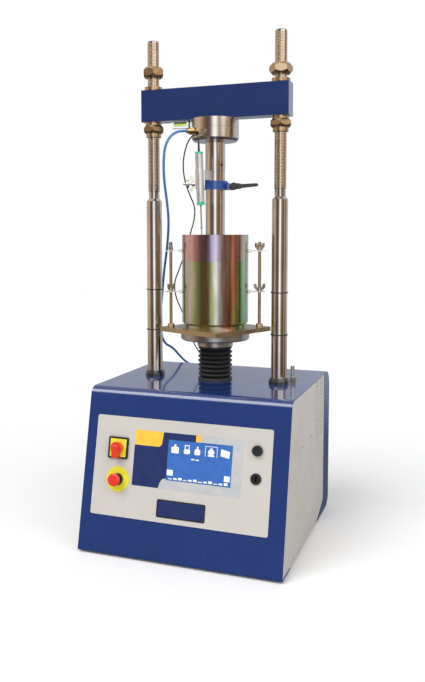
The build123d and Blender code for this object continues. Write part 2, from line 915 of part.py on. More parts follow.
port_z = cell_z + cell_port_lift
plug_z = cell_z + cell_plug_lift
with BuildPart() as load_cell_body:
    with BuildSketch(upright(0)):
        with BuildLine():
            Polyline(
                (0, cell_z),
                (cell_bottom_r, cell_z),
                (cell_r, cell_z + cell_rim_h),
                (cell_r, cap_z - cell_groove),
                (cell_r - cell_groove, cap_z - cell_groove),
                (cell_r - cell_groove, cap_z),
                (0, cap_z),
                close=True,
            )
        make_face()
    revolve(axis=Axis((0, load_axis_y, 0), (0, 0, 1)))
    with BuildSketch(outward(cell_plug_turn, cell_r - cell_plug_t, plug_z)):
        Circle(cell_plug_r)
    extrude(amount=2 * cell_plug_t)
    with BuildSketch(outward(cell_plug_turn, cell_r + cell_plug_t, plug_z)):
        Circle(cell_plug_ring_r)
    extrude(amount=-cell_plug_t / 2, mode=Mode.SUBTRACT)
    with BuildSketch(outward(gland_turn, gland_seat, port_z)):
        Circle(gland_hex_af * 0.62)
    extrude(amount=cell_r, mode=Mode.SUBTRACT)
load_cell_body.part.label = "load_cell_body"

# Brass cable gland on the load cell
gland_end = gland_seat + gland_thread_l + gland_hex_l + gland_dome_l
with BuildPart() as cable_gland:
    with BuildSketch(outward(gland_turn, gland_seat, port_z)):
        Circle(gland_r)
    extrude(amount=gland_thread_l)
    with BuildSketch(outward(gland_turn, gland_seat + gland_thread_l, port_z)):
        RegularPolygon(gland_hex_af / 2, 6, major_radius=False)
    extrude(amount=gland_hex_l)
    with BuildSketch(outward(gland_turn, gland_end - gland_dome_l, port_z)):
        Circle(gland_dome_r)
    extrude(amount=gland_dome_l, taper=7)
    with BuildSketch(outward(gland_turn, gland_end, port_z)):
        Circle(cell_cable_r + tube_fit)
    extrude(amount=-gland_hold, mode=Mode.SUBTRACT)
cable_gland.part.label = "cable_gland"

# Spirit level: clear block with a bored seat for its vial
level_top = crosshead_z
with BuildPart() as spirit_level_block:
    with BuildSketch(level(level_top)):
        with Locations((level_x, level_y)):
            Rectangle(level_l, level_t)
    extrude(amount=-level_h)
    with BuildSketch(Plane.YZ.offset(level_x - vial_l / 2 - vial_fit)):
        with Locations((load_axis_y + level_y, level_top - level_h / 2)):
            Circle(vial_r + vial_fit)
    extrude(amount=vial_l + 2 * vial_fit, mode=Mode.SUBTRACT)
spirit_level_block.part.label = "spirit_level_block"

with BuildPart() as spirit_level_vial:
    with BuildSketch(Plane.YZ.offset(level_x - vial_l / 2)):
        with Locations((load_axis_y + level_y, level_top - level_h / 2)):
            Circle(vial_r)
    extrude(amount=vial_l)
spirit_level_vial.part.label = "spirit_level_vial"

# Adapter with its tommy-bar hole, and the penetration piston
with BuildPart() as piston_adapter:
    with BuildSketch(level(adapter_z)):
        Circle(adapter_r)
    extrude(amount=adapter_h)
    with BuildSketch(outward(tommy_turn, adapter_r + 1, cell_z - tommy_drop)):
        Circle(tommy_r)
    extrude(amount=-(tommy_depth + 1), mode=Mode.SUBTRACT)
piston_adapter.part.label = "piston_adapter"

with BuildPart() as piston:
    with BuildSketch(level(adapter_z)):
        Circle(piston_r)
    extrude(amount=-piston_l)
    chamfer(piston.faces().sort_by(Axis.Z)[-1].edges(), seat_gap)
piston.part.label = "piston"

# Split clamp ring with two ears and the boss that carries the bracket
with BuildPart() as clamp_ring:
    with BuildSketch(level(clamp_z, clamp_turn)):
        Circle(ring_r)
        with PolarLocations(boss_reach / 2, 1, start_angle=boss_turn):
            Rectangle(boss_reach, boss_w)
    extrude(amount=ring_h)
    with BuildSketch(upright(clamp_turn, 0, 0, clamp_z)):
        with BuildLine():
            Polyline(
                (0, 0),
                (clamp_screw_x, 0),
                (clamp_screw_x, 2 * ear_r),
                (ear_shoulder, 2 * ear_r),
                (ear_root, ring_h),
                (0, ring_h),
                close=True,
            )
        make_face()
        with Locations((clamp_screw_x, ear_r)):
            Circle(ear_r)
    extrude(amount=ear_t + ear_gap / 2, both=True)
    with BuildSketch(level(clamp_z, clamp_turn)):
        Circle(piston_r + ring_fit)
        with Locations((clamp_screw_x, 0)):
            Rectangle(2 * clamp_screw_x, ear_gap)
    extrude(amount=ring_h, mode=Mode.SUBTRACT)
    with BuildSketch(upright(clamp_turn, clamp_screw_x, 0, clamp_z + ear_r)):
        Circle(clamp_screw_r + screw_fit)
    extrude(amount=2 * ear_t, both=True, mode=Mode.SUBTRACT)
clamp_ring.part.label = "clamp_ring"

# Clamping lever with its screw through the two ears
hub_start = ear_gap / 2 + ear_t + hub_gap
lever_plane = upright(clamp_turn, clamp_screw_x, 0, clamp_z + ear_r)
with BuildPart() as clamp_lever:
    with BuildSketch(lever_plane.offset(hub_start)):
        Circle(hub_r)
    extrude(amount=hub_l)
    chamfer(clamp_lever.faces().sort_by(Axis(lever_plane.origin, lever_plane.z_dir))[-1].edges(), lever_edge)
    with BuildSketch(lever_plane.offset(hub_start + hub_l - lever_t - 2 * lever_edge)):
        Circle(lever_eye_r)
        with Locations((lever_neck_l, 0)):
            Circle(lever_neck_r)
        make_hull()
    extrude(amount=lever_t)
    with BuildSketch(lever_plane.offset(hub_start + hub_l - lever_t - 2 * lever_edge)):
        with Locations((lever_neck_l, 0)):
            Circle(lever_root_r)
        with Locations((lever_reach, lever_rise)):
            Circle(lever_tip_r)
        make_hull()
    extrude(amount=lever_t)
    with BuildSketch(lever_plane.offset(hub_start)):
        Circle(clamp_screw_r)
    extrude(amount=-(hub_start + ear_gap / 2 + ear_t + clamp_screw_over))
clamp_lever.part.label = "clamp_lever"

# Bracket: bar on the ring's boss and the block that the transducer lies against
tilt = radians(tube_tilt)
along = radians(clamp_turn)
tube_dir = Vector(-sin(tilt) * cos(along), -sin(tilt) * sin(along), cos(tilt))
tube_axis = Plane(
    origin=at_axis(clamp_turn, tube_x, tube_y, tube_z), x_dir=(-sin(along), cos(along), 0), z_dir=tube_dir
)
bar_z = clamp_z + ring_h
block_x = tube_x - (bar_z - tube_z) * tan(tilt)
block_y = tube_y + tube_r + block_t / 2 - saddle_depth
with BuildPart() as transducer_bracket:
    with BuildSketch(level(bar_z, clamp_turn)):
        with PolarLocations((bar_start + bar_reach) / 2, 1, start_angle=boss_turn):
            Rectangle(bar_reach - bar_start, bar_w)
    extrude(amount=bar_h)
    with BuildSketch(level(clamp_z, clamp_turn)):
        with Locations((block_x, block_y)):
            Rectangle(block_w, block_t)
    extrude(amount=ring_h + bar_h)
    with BuildSketch(level(bar_z, clamp_turn)):
        Circle(bar_start)
    extrude(amount=bar_h, mode=Mode.SUBTRACT)
    with BuildSketch(tube_axis):
        Circle(tube_r + tube_fit)
    extrude(amount=tube_l, mode=Mode.SUBTRACT)
    with BuildSketch(outward(clamp_turn, 0, 0).offset(block_x - block_w)):
        with Locations((clamp_stud_y, clamp_stud_z)):
            Circle(clamp_stud_r + tube_fit)
    extrude(amount=2 * block_w, mode=Mode.SUBTRACT)
transducer_bracket.part.label = "transducer_bracket"

# Stud with its dark lock nut, beside the bracket's block
with BuildPart() as bracket_stud:
    with BuildSketch(outward(clamp_turn, 0, 0).offset(clamp_stud_end)):
        with Locations((clamp_stud_y, clamp_stud_z)):
            Circle(clamp_stud_r)
    extrude(amount=block_x + block_w / 2 - clamp_stud_end)
    with BuildSketch(outward(clamp_turn, 0, 0).offset(knurl_end - knurl_t)):
        with Locations((clamp_stud_y, clamp_stud_z)):
            Circle(knurl_r)
    extrude(amount=knurl_t)
bracket_stud.part.label = "bracket_stud"

# Wing nuts share one outline: hub with two flared wings
def wing_outline(span, height):
    """Half of a wing nut's outline, from its seat up, on the right of its axis."""
    return [
        (0, 0),
        (wing_hub_r, 0),
        (span, height * wing_flare),
        (span, height),
        (span * 0.62, height),
        (wing_hub_r * 0.8, wing_hub_h),
        (0, wing_hub_h),
    ]


def wing_planes(seat, lift):
    """The hub's plane and the wings' plane of a wing nut that stands on a seat."""
    hub = seat.offset(lift)
    wings = Plane(origin=hub.origin, x_dir=hub.x_dir, z_dir=hub.x_dir.cross(hub.z_dir))
    return hub, wings


block_face = outward(clamp_turn, 0, 0).offset(block_x - block_w / 2)
bracket_seat = Plane(
    origin=block_face.from_local_coords((clamp_stud_y, clamp_stud_z, 0)),
    x_dir=(0, 0, 1),
    z_dir=-block_face.z_dir,
)
hub_plane, wing_plane = wing_planes(bracket_seat, wing_gap)
with BuildPart() as bracket_wing_nut:
    with BuildSketch(hub_plane):
        Circle(wing_hub_r)
    extrude(amount=wing_hub_h)
    with BuildSketch(wing_plane):
        with BuildLine():
            Polyline(*wing_outline(bracket_wing_span, bracket_wing_top), close=True)
        make_face()
        mirror(about=Plane.YZ)
    extrude(amount=wing_t / 2, both=True)
    with BuildSketch(hub_plane):
        Circle(clamp_stud_r + wing_bore_fit)
    extrude(amount=wing_top, mode=Mode.SUBTRACT)
bracket_wing_nut.part.label = "bracket_wing_nut"

# Displacement transducer: tube with green end caps and a strain relief
with BuildPart() as transducer_tube:
    with BuildSketch(tube_axis.offset(low_cap_t)):
        Circle(tube_r)
        Circle(tube_bore_r, mode=Mode.SUBTRACT)
    extrude(amount=tube_l)
transducer_tube.part.label = "transducer_tube"

with BuildPart() as transducer_caps:
    with BuildSketch(tube_axis):
        Circle(cap_r)
    extrude(amount=low_cap_t)
    with BuildSketch(tube_axis):
        Circle(bush_r)
    extrude(amount=-bush_l)
    with BuildSketch(tube_axis.offset(low_cap_t)):
        Circle(spindle_r + spindle_fit)
    extrude(amount=-(low_cap_t + bush_l), mode=Mode.SUBTRACT)
    with BuildSketch(tube_axis.offset(low_cap_t + tube_l)):
        Circle(cap_r)
    extrude(amount=top_cap_t)
transducer_caps.part.label = "transducer_caps"

relief_base = low_cap_t + tube_l + top_cap_t
with BuildPart() as transducer_relief:
    with BuildSketch(tube_axis.offset(relief_base)):
        Circle(relief_r)
    with BuildSketch(tube_axis.offset(relief_base + relief_l)):
        Circle(relief_top_r)
    loft()
transducer_relief.part.label = "transducer_relief"

# Spindle that follows the mould's rim
mould_plate_z = platen_z + platen_h
mould_z = mould_plate_z + mould_plate_t
rim_z = mould_z + mould_h + collar_h - spigot_h
spindle_drop = (tube_z - rim_z - rim_gap) / cos(tilt)
joint_drop = spindle_drop - tip_r - needle_l - joint_l
with BuildPart() as spindle:
    with BuildSketch(tube_axis.offset(-spindle_drop + tip_r)):
        Circle(needle_r)
    extrude(amount=needle_l)
    with Locations(tube_axis.offset(-spindle_drop + tip_r)):
        Sphere(tip_r)
    with BuildSketch(tube_axis.offset(-joint_drop)):
        Circle(joint_r)
    extrude(amount=-joint_l)
    with BuildSketch(tube_axis.offset(-joint_drop)):
        Circle(spindle_r)
    extrude(amount=spindle_l)
spindle.part.label = "spindle"

# Ram, bellows, bellows holder and platen
with BuildPart() as ram:
    with BuildSketch(level(ram_z)):
        Circle(ram_r)
    extrude(amount=ram_l)
ram.part.label = "ram"

fold_h = bellows_h / bellows_folds
with BuildPart() as bellows:
    with BuildSketch(upright(0)):
        with BuildLine():
            folds = [(bellows_bore_r, cabinet_h)]
            for i in range(bellows_folds):
                low = cabinet_h + i * fold_h
                folds.append((bellows_root_r, low))
                folds.append((bellows_r, low + fold_h * 0.36))
                folds.append((bellows_r, low + fold_h * 0.62))
            folds.append((bellows_root_r, cabinet_h + bellows_h))
            folds.append((bellows_bore_r, cabinet_h + bellows_h))
            Polyline(*folds, close=True)
        make_face()
    revolve(axis=Axis((0, load_axis_y, 0), (0, 0, 1)))
bellows.part.label = "bellows"

holder_z = platen_z - holder_h
with BuildPart() as bellows_holder:
    with BuildSketch(upright(0)):
        with BuildLine():
            Polyline(
                (ram_r + nut_fit, holder_z),
                (holder_r - holder_groove, holder_z),
                (holder_r, holder_z + holder_groove),
                (holder_r, holder_z + holder_h * 0.5),
                (holder_r - holder_groove, holder_z + holder_h * 0.5),
                (holder_r - holder_groove, platen_z),
                (ram_r + nut_fit, platen_z),
                close=True,
            )
        make_face()
    revolve(axis=Axis((0, load_axis_y, 0), (0, 0, 1)))
bellows_holder.part.label = "bellows_holder"

with BuildPart() as platen:
    with BuildSketch(level(platen_z)):
        Circle(platen_r)
    extrude(amount=platen_h)
    chamfer(platen.faces().sort_by(Axis.Z)[0].edges(), platen_edge)
platen.part.label = "platen"

# Mould base: square plate on the bias with drain holes under the bore
with BuildPart() as mould_base:
    with BuildSketch(level(mould_plate_z, mould_turn + 45)):
        Rectangle(mould_plate_side, mould_plate_side)
        Circle(plate_bore_r, mode=Mode.SUBTRACT)
        for ring in range(1, plate_bore_rings + 1):
            with PolarLocations(ring * plate_bore_step, 6 * ring):
                Circle(plate_bore_r, mode=Mode.SUBTRACT)
    extrude(amount=mould_plate_t)
mould_base.part.label = "mould_base"

with BuildPart() as mould_body:
    with BuildSketch(upright(mould_turn)):
        with BuildLine():
            Polyline(
                (mould_bore_r, mould_z),
                (mould_foot_r, mould_z),
                (mould_foot_r, mould_z + mould_foot_h - (mould_r - mould_foot_r) / 2),
                (mould_r, mould_z + mould_foot_h + (mould_r - mould_foot_r) / 2),
                (mould_r, mould_z + mould_h - spigot_h),
                (spigot_r, mould_z + mould_h - spigot_h),
                (spigot_r, mould_z + mould_h),
                (mould_bore_r, mould_z + mould_h),
                close=True,
            )
        make_face()
    revolve(axis=Axis((0, load_axis_y, 0), (0, 0, 1)))
mould_body.part.label = "mould_body"

collar_z = mould_z + mould_h - spigot_h
with BuildPart() as mould_collar:
    with BuildSketch(upright(mould_turn)):
        with BuildLine():
            Polyline(
                (spigot_r + collar_fit, collar_z),
                (mould_r, collar_z),
                (mould_r, rim_z),
                (mould_bore_r, rim_z),
                (mould_bore_r, mould_z + mould_h),
                (spigot_r + collar_fit, mould_z + mould_h),
                close=True,
            )
        make_face()
    revolve(axis=Axis((0, load_axis_y, 0), (0, 0, 1)))
mould_collar.part.label = "mould_collar"

# Two long studs on opposite corners, each with a lock nut on the plate
with BuildPart() as mould_studs:
    with BuildSketch(level(mould_z, mould_turn)):
        with Locations((-stud_pitch_r, 0), (stud_pitch_r, 0)):
            Circle(stud_r)
    extrude(amount=stud_h)
    with BuildSketch(level(mould_z, mould_turn)):
        with Locations((-stud_pitch_r, 0), (stud_pitch_r, 0)):
            RegularPolygon(stud_nut_af / 2, 6, major_radius=False)
    extrude(amount=stud_nut_h)
mould_studs.part.label = "mould_studs"

# Slotted lugs: one pair on the mould, one pair on the collar
with BuildPart() as mould_lugs:
    for lug_z in (mould_z + lug_low_z, mould_z + lug_high_z):
        with BuildSketch(level(lug_z - lug_t, mould_turn)):
            for side in (-1, 1):
                with Locations((side * (mould_r + lug_reach) / 2, 0)):
                    Rectangle(lug_reach - mould_r, lug_w)
            Circle(mould_r + collar_fit / 4, mode=Mode.SUBTRACT)
            for side in (-1, 1):
                with Locations((side * stud_pitch_r, 0)):
                    Circle(lug_slot_r, mode=Mode.SUBTRACT)
                with Locations((side * (stud_pitch_r + lug_reach) / 2, 0)):
                    Rectangle(lug_reach - stud_pitch_r + lug_hold, 2 * lug_slot_r, mode=Mode.SUBTRACT)
        extrude(amount=lug_t)
        with BuildSketch(level(lug_z - lug_boss_h / 2 - lug_t / 2, mould_turn)):
            for side in (-1, 1):
                with Locations((side * (mould_bore_r + lug_boss_reach) / 2, 0)):
                    Rectangle(lug_boss_reach - mould_bore_r, lug_boss_w)
            Circle(mould_r + collar_fit / 4, mode=Mode.SUBTRACT)
        extrude(amount=lug_boss_h)
mould_lugs.part.label = "mould_lugs"

# The four wing nuts on the studs
wing_nut_spots = {
    "wing_nut_low_left": (-stud_pitch_r, mould_z + lug_low_z, 60),
    "wing_nut_low_right": (stud_pitch_r, mould_z + lug_low_z, 10),
    "wing_nut_high_left": (-stud_pitch_r, mould_z + lug_high_z, 80),
    "wing_nut_high_right": (stud_pitch_r, mould_z + lug_high_z, 35),
}
wing_nuts = []
for name, (stud_x, seat_z, wing_turn) in wing_nut_spots.items():
    a = radians(mould_turn + wing_turn)
    seat = Plane(origin=at_axis(mould_turn, stud_x, 0, seat_z), x_dir=(cos(a), sin(a), 0), z_dir=(0, 0, 1))
    hub_plane, wing_plane = wing_planes(seat, wing_gap)
    with BuildPart() as wing_nut:
        with BuildSketch(hub_plane):
            Circle(wing_hub_r)
        extrude(amount=wing_hub_h)
        with BuildSketch(wing_plane):
            with BuildLine():
                Polyline(*wing_outline(wing_span, wing_top), close=True)
            make_face()
            mirror(about=Plane.YZ)
        extrude(amount=wing_t / 2, both=True)
        with BuildSketch(hub_plane):
            Circle(stud_r + wing_bore_fit)
        extrude(amount=wing_top, mode=Mode.SUBTRACT)
    wing_nut.part.label = name
    wing_nuts.append(wing_nut)

# Small stop post on the cabinet top
with BuildPart() as stop_post:
    with BuildSketch(Plane(origin=(0, post_y, 0), x_dir=(1, 0, 0), z_dir=(0, -1, 0))):
        with BuildLine():
            Polyline(
                (post_x, cabinet_h - sheet_t),
                (post_x + post_r, cabinet_h - sheet_t),
                (post_x + post_r, cabinet_h + post_neck_z),
                (post_x + post_neck_r, cabinet_h + post_neck_z),
                (post_x + post_neck_r, cabinet_h + post_neck_z + post_neck_l),
                (post_x + post_r, cabinet_h + post_neck_z + post_neck_l),
                (post_x + post_r, cabinet_h + post_h),
                (post_x, cabinet_h + post_h),
                close=True,
            )
        make_face()
    revolve(axis=Axis((post_x, post_y, 0), (0, 0, 1)))
    with BuildSketch(Plane.XY.offset(cabinet_h)):
        with Locations((post_x, post_y)):
            RegularPolygon(post_nut_af / 2, 6, major_radius=False)
    extrude(amount=post_nut_h)
stop_post.part.label = "stop_post"

# Plugs at the back for the two cables
with BuildPart() as cable_plugs:
    with BuildSketch(Plane.XZ.offset(-rear_y)):
        with Locations((cell_socket_x, cell_socket_z)):
            Circle(cell_plug_body_r)
    extrude(amount=-cell_plug_l)
    with BuildSketch(Plane.XZ.offset(-rear_y)):
        with Locations((signal_socket_x, signal_socket_z)):
            Circle(signal_plug_body_r)
    extrude(amount=-signal_plug_l)
    with BuildSketch(Plane.XZ.offset(-rear_y - cell_plug_l)):
        with Locations((cell_socket_x, cell_socket_z)):
            Circle(cell_cable_r + tube_fit)
    extrude(amount=plug_hold, mode=Mode.SUBTRACT)
    with BuildSketch(Plane.XZ.offset(-rear_y - signal_plug_l)):
        with Locations((signal_socket_x, signal_socket_z)):
            Circle(signal_cable_r + tube_fit)
    extrude(amount=plug_hold, mode=Mode.SUBTRACT)
cable_plugs.part.label = "cable_plugs"


def corner_radii(points):
    """The largest arc for each corner that its two runs allow."""
    radii = []
    for a, b, c in zip(points, points[1:], points[2:]):
        first = b - a
        second = c - b
        turn = first.get_angle(second)
        radii.append(0.45 * min(first.length, second.length) / tan(radians(turn / 2)))
    return radii


def beside_axis(points):
    return [Vector(x, load_axis_y + y, z) for x, y, z in points]


# Load cell cable: from the gland, past the left column, over the rear edge
cell_cable_points = [
    at_axis(gland_turn, gland_end - gland_hold, 0, port_z),
    at_axis(gland_turn, 100, 0, port_z),
]
cell_cable_points += beside_axis([
    (-79, -99, 1007), (-93, -107, 980), (-102, -96, 938), (-111, -70, 893), (-121, -31, 850),
    (-135, 15, 795), (-153, 43, 724), (-168, 56, 664), (-180, 71, 600), (-195, 92, 545),
    (-208, 122, 495), (-213, 155, 450), (-198, 186, 434), (-187, 216, 404), (-185, 252, 383),
    (-176, 290, 364), (-162, 316, 336), (-148, 322, 310), (-136, 312, 286),
])
cell_plug_end_y = rear_y + cell_plug_l - plug_hold
cell_cable_points += [
    Vector(cell_socket_x, cell_plug_end_y + 27, cell_socket_z),
    Vector(cell_socket_x, cell_plug_end_y, cell_socket_z),
]
cell_cable_radii = corner_radii(cell_cable_points)
with BuildPart() as load_cell_cable:
    with BuildLine() as cell_path:
        FilletPolyline(*cell_cable_points, radius=cell_cable_radii)
    with BuildSketch(Plane(origin=cell_path.line @ 0, z_dir=cell_path.line % 0)):
        Circle(cell_cable_r)
    sweep()
load_cell_cable.part.label = "load_cell_cable"

# Transducer cable: loops over beside the load cell, behind the mould, over the rear edge
relief_top = tube_axis.offset(relief_base + relief_l).origin
signal_cable_points = [
    relief_top,
    relief_top + tube_dir * 22,
]
signal_cable_points += beside_axis([
    (-40, -63, 1006), (-59, -44, 992), (-74, -30, 964), (-81, -19, 933), (-80, -8, 898),
    (-73, 8, 865), (-68, 33, 835), (-79, 57, 803), (-93, 62, 766), (-106, 66, 724),
    (-125, 67, 675), (-145, 70, 631), (-144, 82, 589), (-131, 97, 550), (-119, 108, 509),
    (-113, 121, 474), (-106, 138, 444), (-95, 163, 416), (-89, 190, 400), (-86, 232, 397),
    (-80, 266, 382), (-72, 294, 356), (-64, 306, 328), (-59, 303, 303), (-56, 291, 285),
])
signal_plug_end_y = rear_y + signal_plug_l - plug_hold
signal_cable_points += [
    Vector(signal_socket_x, signal_plug_end_y + 18, signal_socket_z),
    Vector(signal_socket_x, signal_plug_end_y, signal_socket_z),
]
signal_cable_radii = corner_radii(signal_cable_points)
with BuildPart() as transducer_cable:
    with BuildLine() as signal_path:
        FilletPolyline(*signal_cable_points, radius=signal_cable_radii)
    with BuildSketch(Plane(origin=signal_path.line @ 0, z_dir=signal_path.line % 0)):
        Circle(signal_cable_r)
    sweep()
transducer_cable.part.label = "transducer_cable"

for title, radii, path, solid, r in (
    ("load cell cable", cell_cable_radii, cell_path, load_cell_cable.part, cell_cable_r),
    ("transducer cable", signal_cable_radii, signal_path, transducer_cable.part, signal_cable_r),
):
    length = sum(edge.length for edge in path.edges())
    print(title, "length", round(length, 1), "radii", [round(x, 1) for x in radii])
    print(title, "volume", round(solid.volume, 1), "section times length", round(pi * r * r * length, 1))

pieces = [
    base_tray, rubber_feet, front_cover, rear_cover, side_panels, control_panel, touch_screen,
    main_switch_frame, main_switch_handle, estop_plate, estop_body, estop_stem, estop_head,
    upper_socket, lower_socket, rear_sockets, mains_inlet, lower_platform, drive_unit,
    columns, column_rings, column_foot_rings, column_nuts, crosshead, upper_washers, beam_nuts,
    load_cell_cap, load_cell_body, cable_gland, spirit_level_block, spirit_level_vial,
    piston_adapter, piston, clamp_ring, clamp_lever, transducer_bracket, bracket_stud,
    bracket_wing_nut, transducer_tube, transducer_caps, transducer_relief, spindle,
    ram, bellows, bellows_holder, platen, mould_base, mould_body, mould_collar, mould_studs,
    mould_lugs, stop_post, cable_plugs, load_cell_cable, transducer_cable,
] + wing_nuts
for piece in pieces:
    export_step(piece.part, f"parts/{piece.part.label}.step")
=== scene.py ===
import json
import math

import bmesh
import bpy
from mathutils import Matrix, Vector


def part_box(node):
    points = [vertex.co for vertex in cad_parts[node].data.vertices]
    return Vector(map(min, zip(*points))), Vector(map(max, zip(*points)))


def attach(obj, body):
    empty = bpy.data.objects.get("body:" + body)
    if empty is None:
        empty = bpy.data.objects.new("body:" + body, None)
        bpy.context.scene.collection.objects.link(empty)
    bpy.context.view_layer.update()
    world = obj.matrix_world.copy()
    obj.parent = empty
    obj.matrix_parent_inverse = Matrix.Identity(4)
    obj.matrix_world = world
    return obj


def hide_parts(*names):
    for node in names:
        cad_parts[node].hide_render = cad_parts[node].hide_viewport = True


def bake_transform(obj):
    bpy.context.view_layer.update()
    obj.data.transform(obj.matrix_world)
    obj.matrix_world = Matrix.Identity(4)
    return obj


# A bench press for soil bearing tests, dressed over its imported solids.
# Metres throughout. The operator stands on the -Y side.
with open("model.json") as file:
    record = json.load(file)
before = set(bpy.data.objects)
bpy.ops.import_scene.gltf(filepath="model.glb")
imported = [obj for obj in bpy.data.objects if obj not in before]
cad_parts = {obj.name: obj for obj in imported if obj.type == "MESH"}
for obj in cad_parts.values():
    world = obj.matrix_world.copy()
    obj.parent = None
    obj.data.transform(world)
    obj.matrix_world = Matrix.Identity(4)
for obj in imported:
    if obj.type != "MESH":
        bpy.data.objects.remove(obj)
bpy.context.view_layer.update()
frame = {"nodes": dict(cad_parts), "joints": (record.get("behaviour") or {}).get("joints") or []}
nodes = frame["nodes"]
joints = {joint["name"]: joint for joint in frame["joints"]}


def middle(node):
    low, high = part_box(node)
    return (low + high) / 2


def top(node):
    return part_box(node)[1].z


def bottom(node):
    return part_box(node)[0].z


loadAxis = Vector((0, middle("piston").y, 0))


# Meshes

def finishPiece(name, bm, body, material, smoothAngle=35):
    bmesh.ops.remove_doubles(bm, verts=bm.verts, dist=1e-6)
    bmesh.ops.recalc_face_normals(bm, faces=bm.faces)
    mesh = bpy.data.meshes.new(name)
    bm.to_mesh(mesh)
    bm.free()
    mesh.polygons.foreach_set("use_smooth", [True] * len(mesh.polygons))
    mesh.set_sharp_from_angle(angle=math.radians(smoothAngle))
    mesh.materials.append(material)
    piece = bpy.data.objects.new(name, mesh)
    bpy.context.scene.collection.objects.link(piece)
    if body:
        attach(piece, body)
    return piece


def bevelEdges(bm, edges, width, segments=2):
    bmesh.ops.bevel(bm, geom=edges, offset=width, offset_type="OFFSET", segments=segments,
                    profile=0.5, affect="EDGES", clamp_overlap=True, material=-1)


def addSlab(bm, outline, thickness, place, bevelWidth=0.0):
    part = bmesh.new()  # flat outline grown along its own z, then placed
    face = part.faces.new([part.verts.new((x, y, 0)) for x, y in outline])
    grown = bmesh.ops.extrude_face_region(part, geom=[face])
    moved = [item for item in grown["geom"] if isinstance(item, bmesh.types.BMVert)]
    bmesh.ops.translate(part, verts=moved, vec=(0, 0, thickness))
    bmesh.ops.recalc_face_normals(part, faces=part.faces)
    if bevelWidth:
        rim = [edge for edge in part.edges if all(abs(v.co.z - thickness) < 1e-9 for v in edge.verts)]
        bevelEdges(part, rim, bevelWidth)
    joinInto(bm, part, place)


def joinInto(bm, part, place):
    bmesh.ops.transform(part, matrix=place, verts=part.verts)
    carrier = bpy.data.meshes.new("carrier")
    part.to_mesh(carrier)
    part.free()
    bm.from_mesh(carrier)
    bpy.data.meshes.remove(carrier)


def addTurned(bm, profile, centre, segments=48):
    part = bmesh.new()
    verts = [part.verts.new((r, 0, z)) for r, z in profile]
    edges = [part.edges.new(pair) for pair in zip(verts, verts[1:])]
    bmesh.ops.spin(part, geom=verts + edges, cent=(0, 0, 0), axis=(0, 0, 1), dvec=(0, 0, 0),
                   angle=math.tau, steps=segments, use_merge=True, use_duplicate=False)
    joinInto(bm, part, Matrix.Translation(centre))


def roundedOutline(width, height, radius, centre=(0, 0), steps=5):
    points = []
    for sx, sy, start in ((1, 1, 0), (-1, 1, 90), (-1, -1, 180), (1, -1, 270)):
        cx = centre[0] + sx * (width / 2 - radius)
        cy = centre[1] + sy * (height / 2 - radius)
        for step in range(steps + 1):
            a = math.radians(start + 90 * step / steps)
            points.append((cx + radius * math.cos(a), cy + radius * math.sin(a)))
    return points


# Materials

def newMaterial(name):
    material = bpy.data.materials.new(name)
    material.use_nodes = True
    tree = material.node_tree
    tree.nodes.clear()
    output = tree.nodes.new("ShaderNodeOutputMaterial")
    shader = tree.nodes.new("ShaderNodeBsdfPrincipled")
    tree.links.new(shader.outputs["BSDF"], output.inputs["Surface"])
    return material, tree, shader


def coordinates(tree, stretch=(1, 1, 1)):
    source = tree.nodes.new("ShaderNodeTexCoord")
    mapping = tree.nodes.new("ShaderNodeMapping")
    mapping.inputs["Scale"].default_value = stretch
    tree.links.new(source.outputs["Object"], mapping.inputs["Vector"])
    return mapping.outputs["Vector"]


def noise(tree, vector, scale, detail=3.0, roughness=0.5, distortion=0.0):
    texture = tree.nodes.new("ShaderNodeTexNoise")
    texture.inputs["Scale"].default_value = scale
    texture.inputs["Detail"].default_value = detail
    texture.inputs["Roughness"].default_value = roughness
    texture.inputs["Distortion"].default_value = distortion
    tree.links.new(vector, texture.inputs["Vector"])
    return texture.outputs["Fac"]


def ramp(tree, factor, stops):
    node = tree.nodes.new("ShaderNodeValToRGB")
    elements = node.color_ramp.elements
    while len(elements) < len(stops):
        elements.new(0.5)
    for element, (position, colour) in zip(elements, stops):
        element.position = position
        element.color = (*colour, 1)
    tree.links.new(factor, node.inputs["Fac"])
    return node.outputs["Color"]


def remap(tree, value, low, high, newLow, newHigh):
    node = tree.nodes.new("ShaderNodeMapRange")
    for name, number in (("From Min", low), ("From Max", high), ("To Min", newLow), ("To Max", newHigh)):
        node.inputs[name].default_value = number
    tree.links.new(value, node.inputs["Value"])
    return node.outputs["Result"]


def bump(tree, shader, height, distance, strength=1.0):
    node = tree.nodes.new("ShaderNodeBump")
    node.inputs["Distance"].default_value = distance
    node.inputs["Strength"].default_value = strength
    tree.links.new(height, node.inputs["Height"])
    tree.links.new(node.outputs["Normal"], shader.inputs["Normal"])


def shade(colour, factor):
    return tuple(min(1.0, channel * factor) for channel in colour)


def paint(name, colour, roughness, grain, grainDepth=0.00003, coat=0.0, variation=0.06):
    material, tree, shader = newMaterial(name)
    vector = coordinates(tree)
    clouds = noise(tree, vector, 9, 3)
    tint = ramp(tree, clouds, [(0.3, shade(colour, 1 - variation)), (0.7, shade(colour, 1 + variation))])
    tree.links.new(tint, shader.inputs["Base Color"])
    smears = noise(tree, vector, 23, 4, 0.6)
    tree.links.new(remap(tree, smears, 0.3, 0.7, roughness * 0.8, roughness * 1.25), shader.inputs["Roughness"])
    shader.inputs["Coat Weight"].default_value = coat
    shader.inputs["Coat Roughness"].default_value = 0.05
    bump(tree, shader, noise(tree, vector, grain, 2), grainDepth, 0.5)
    return material


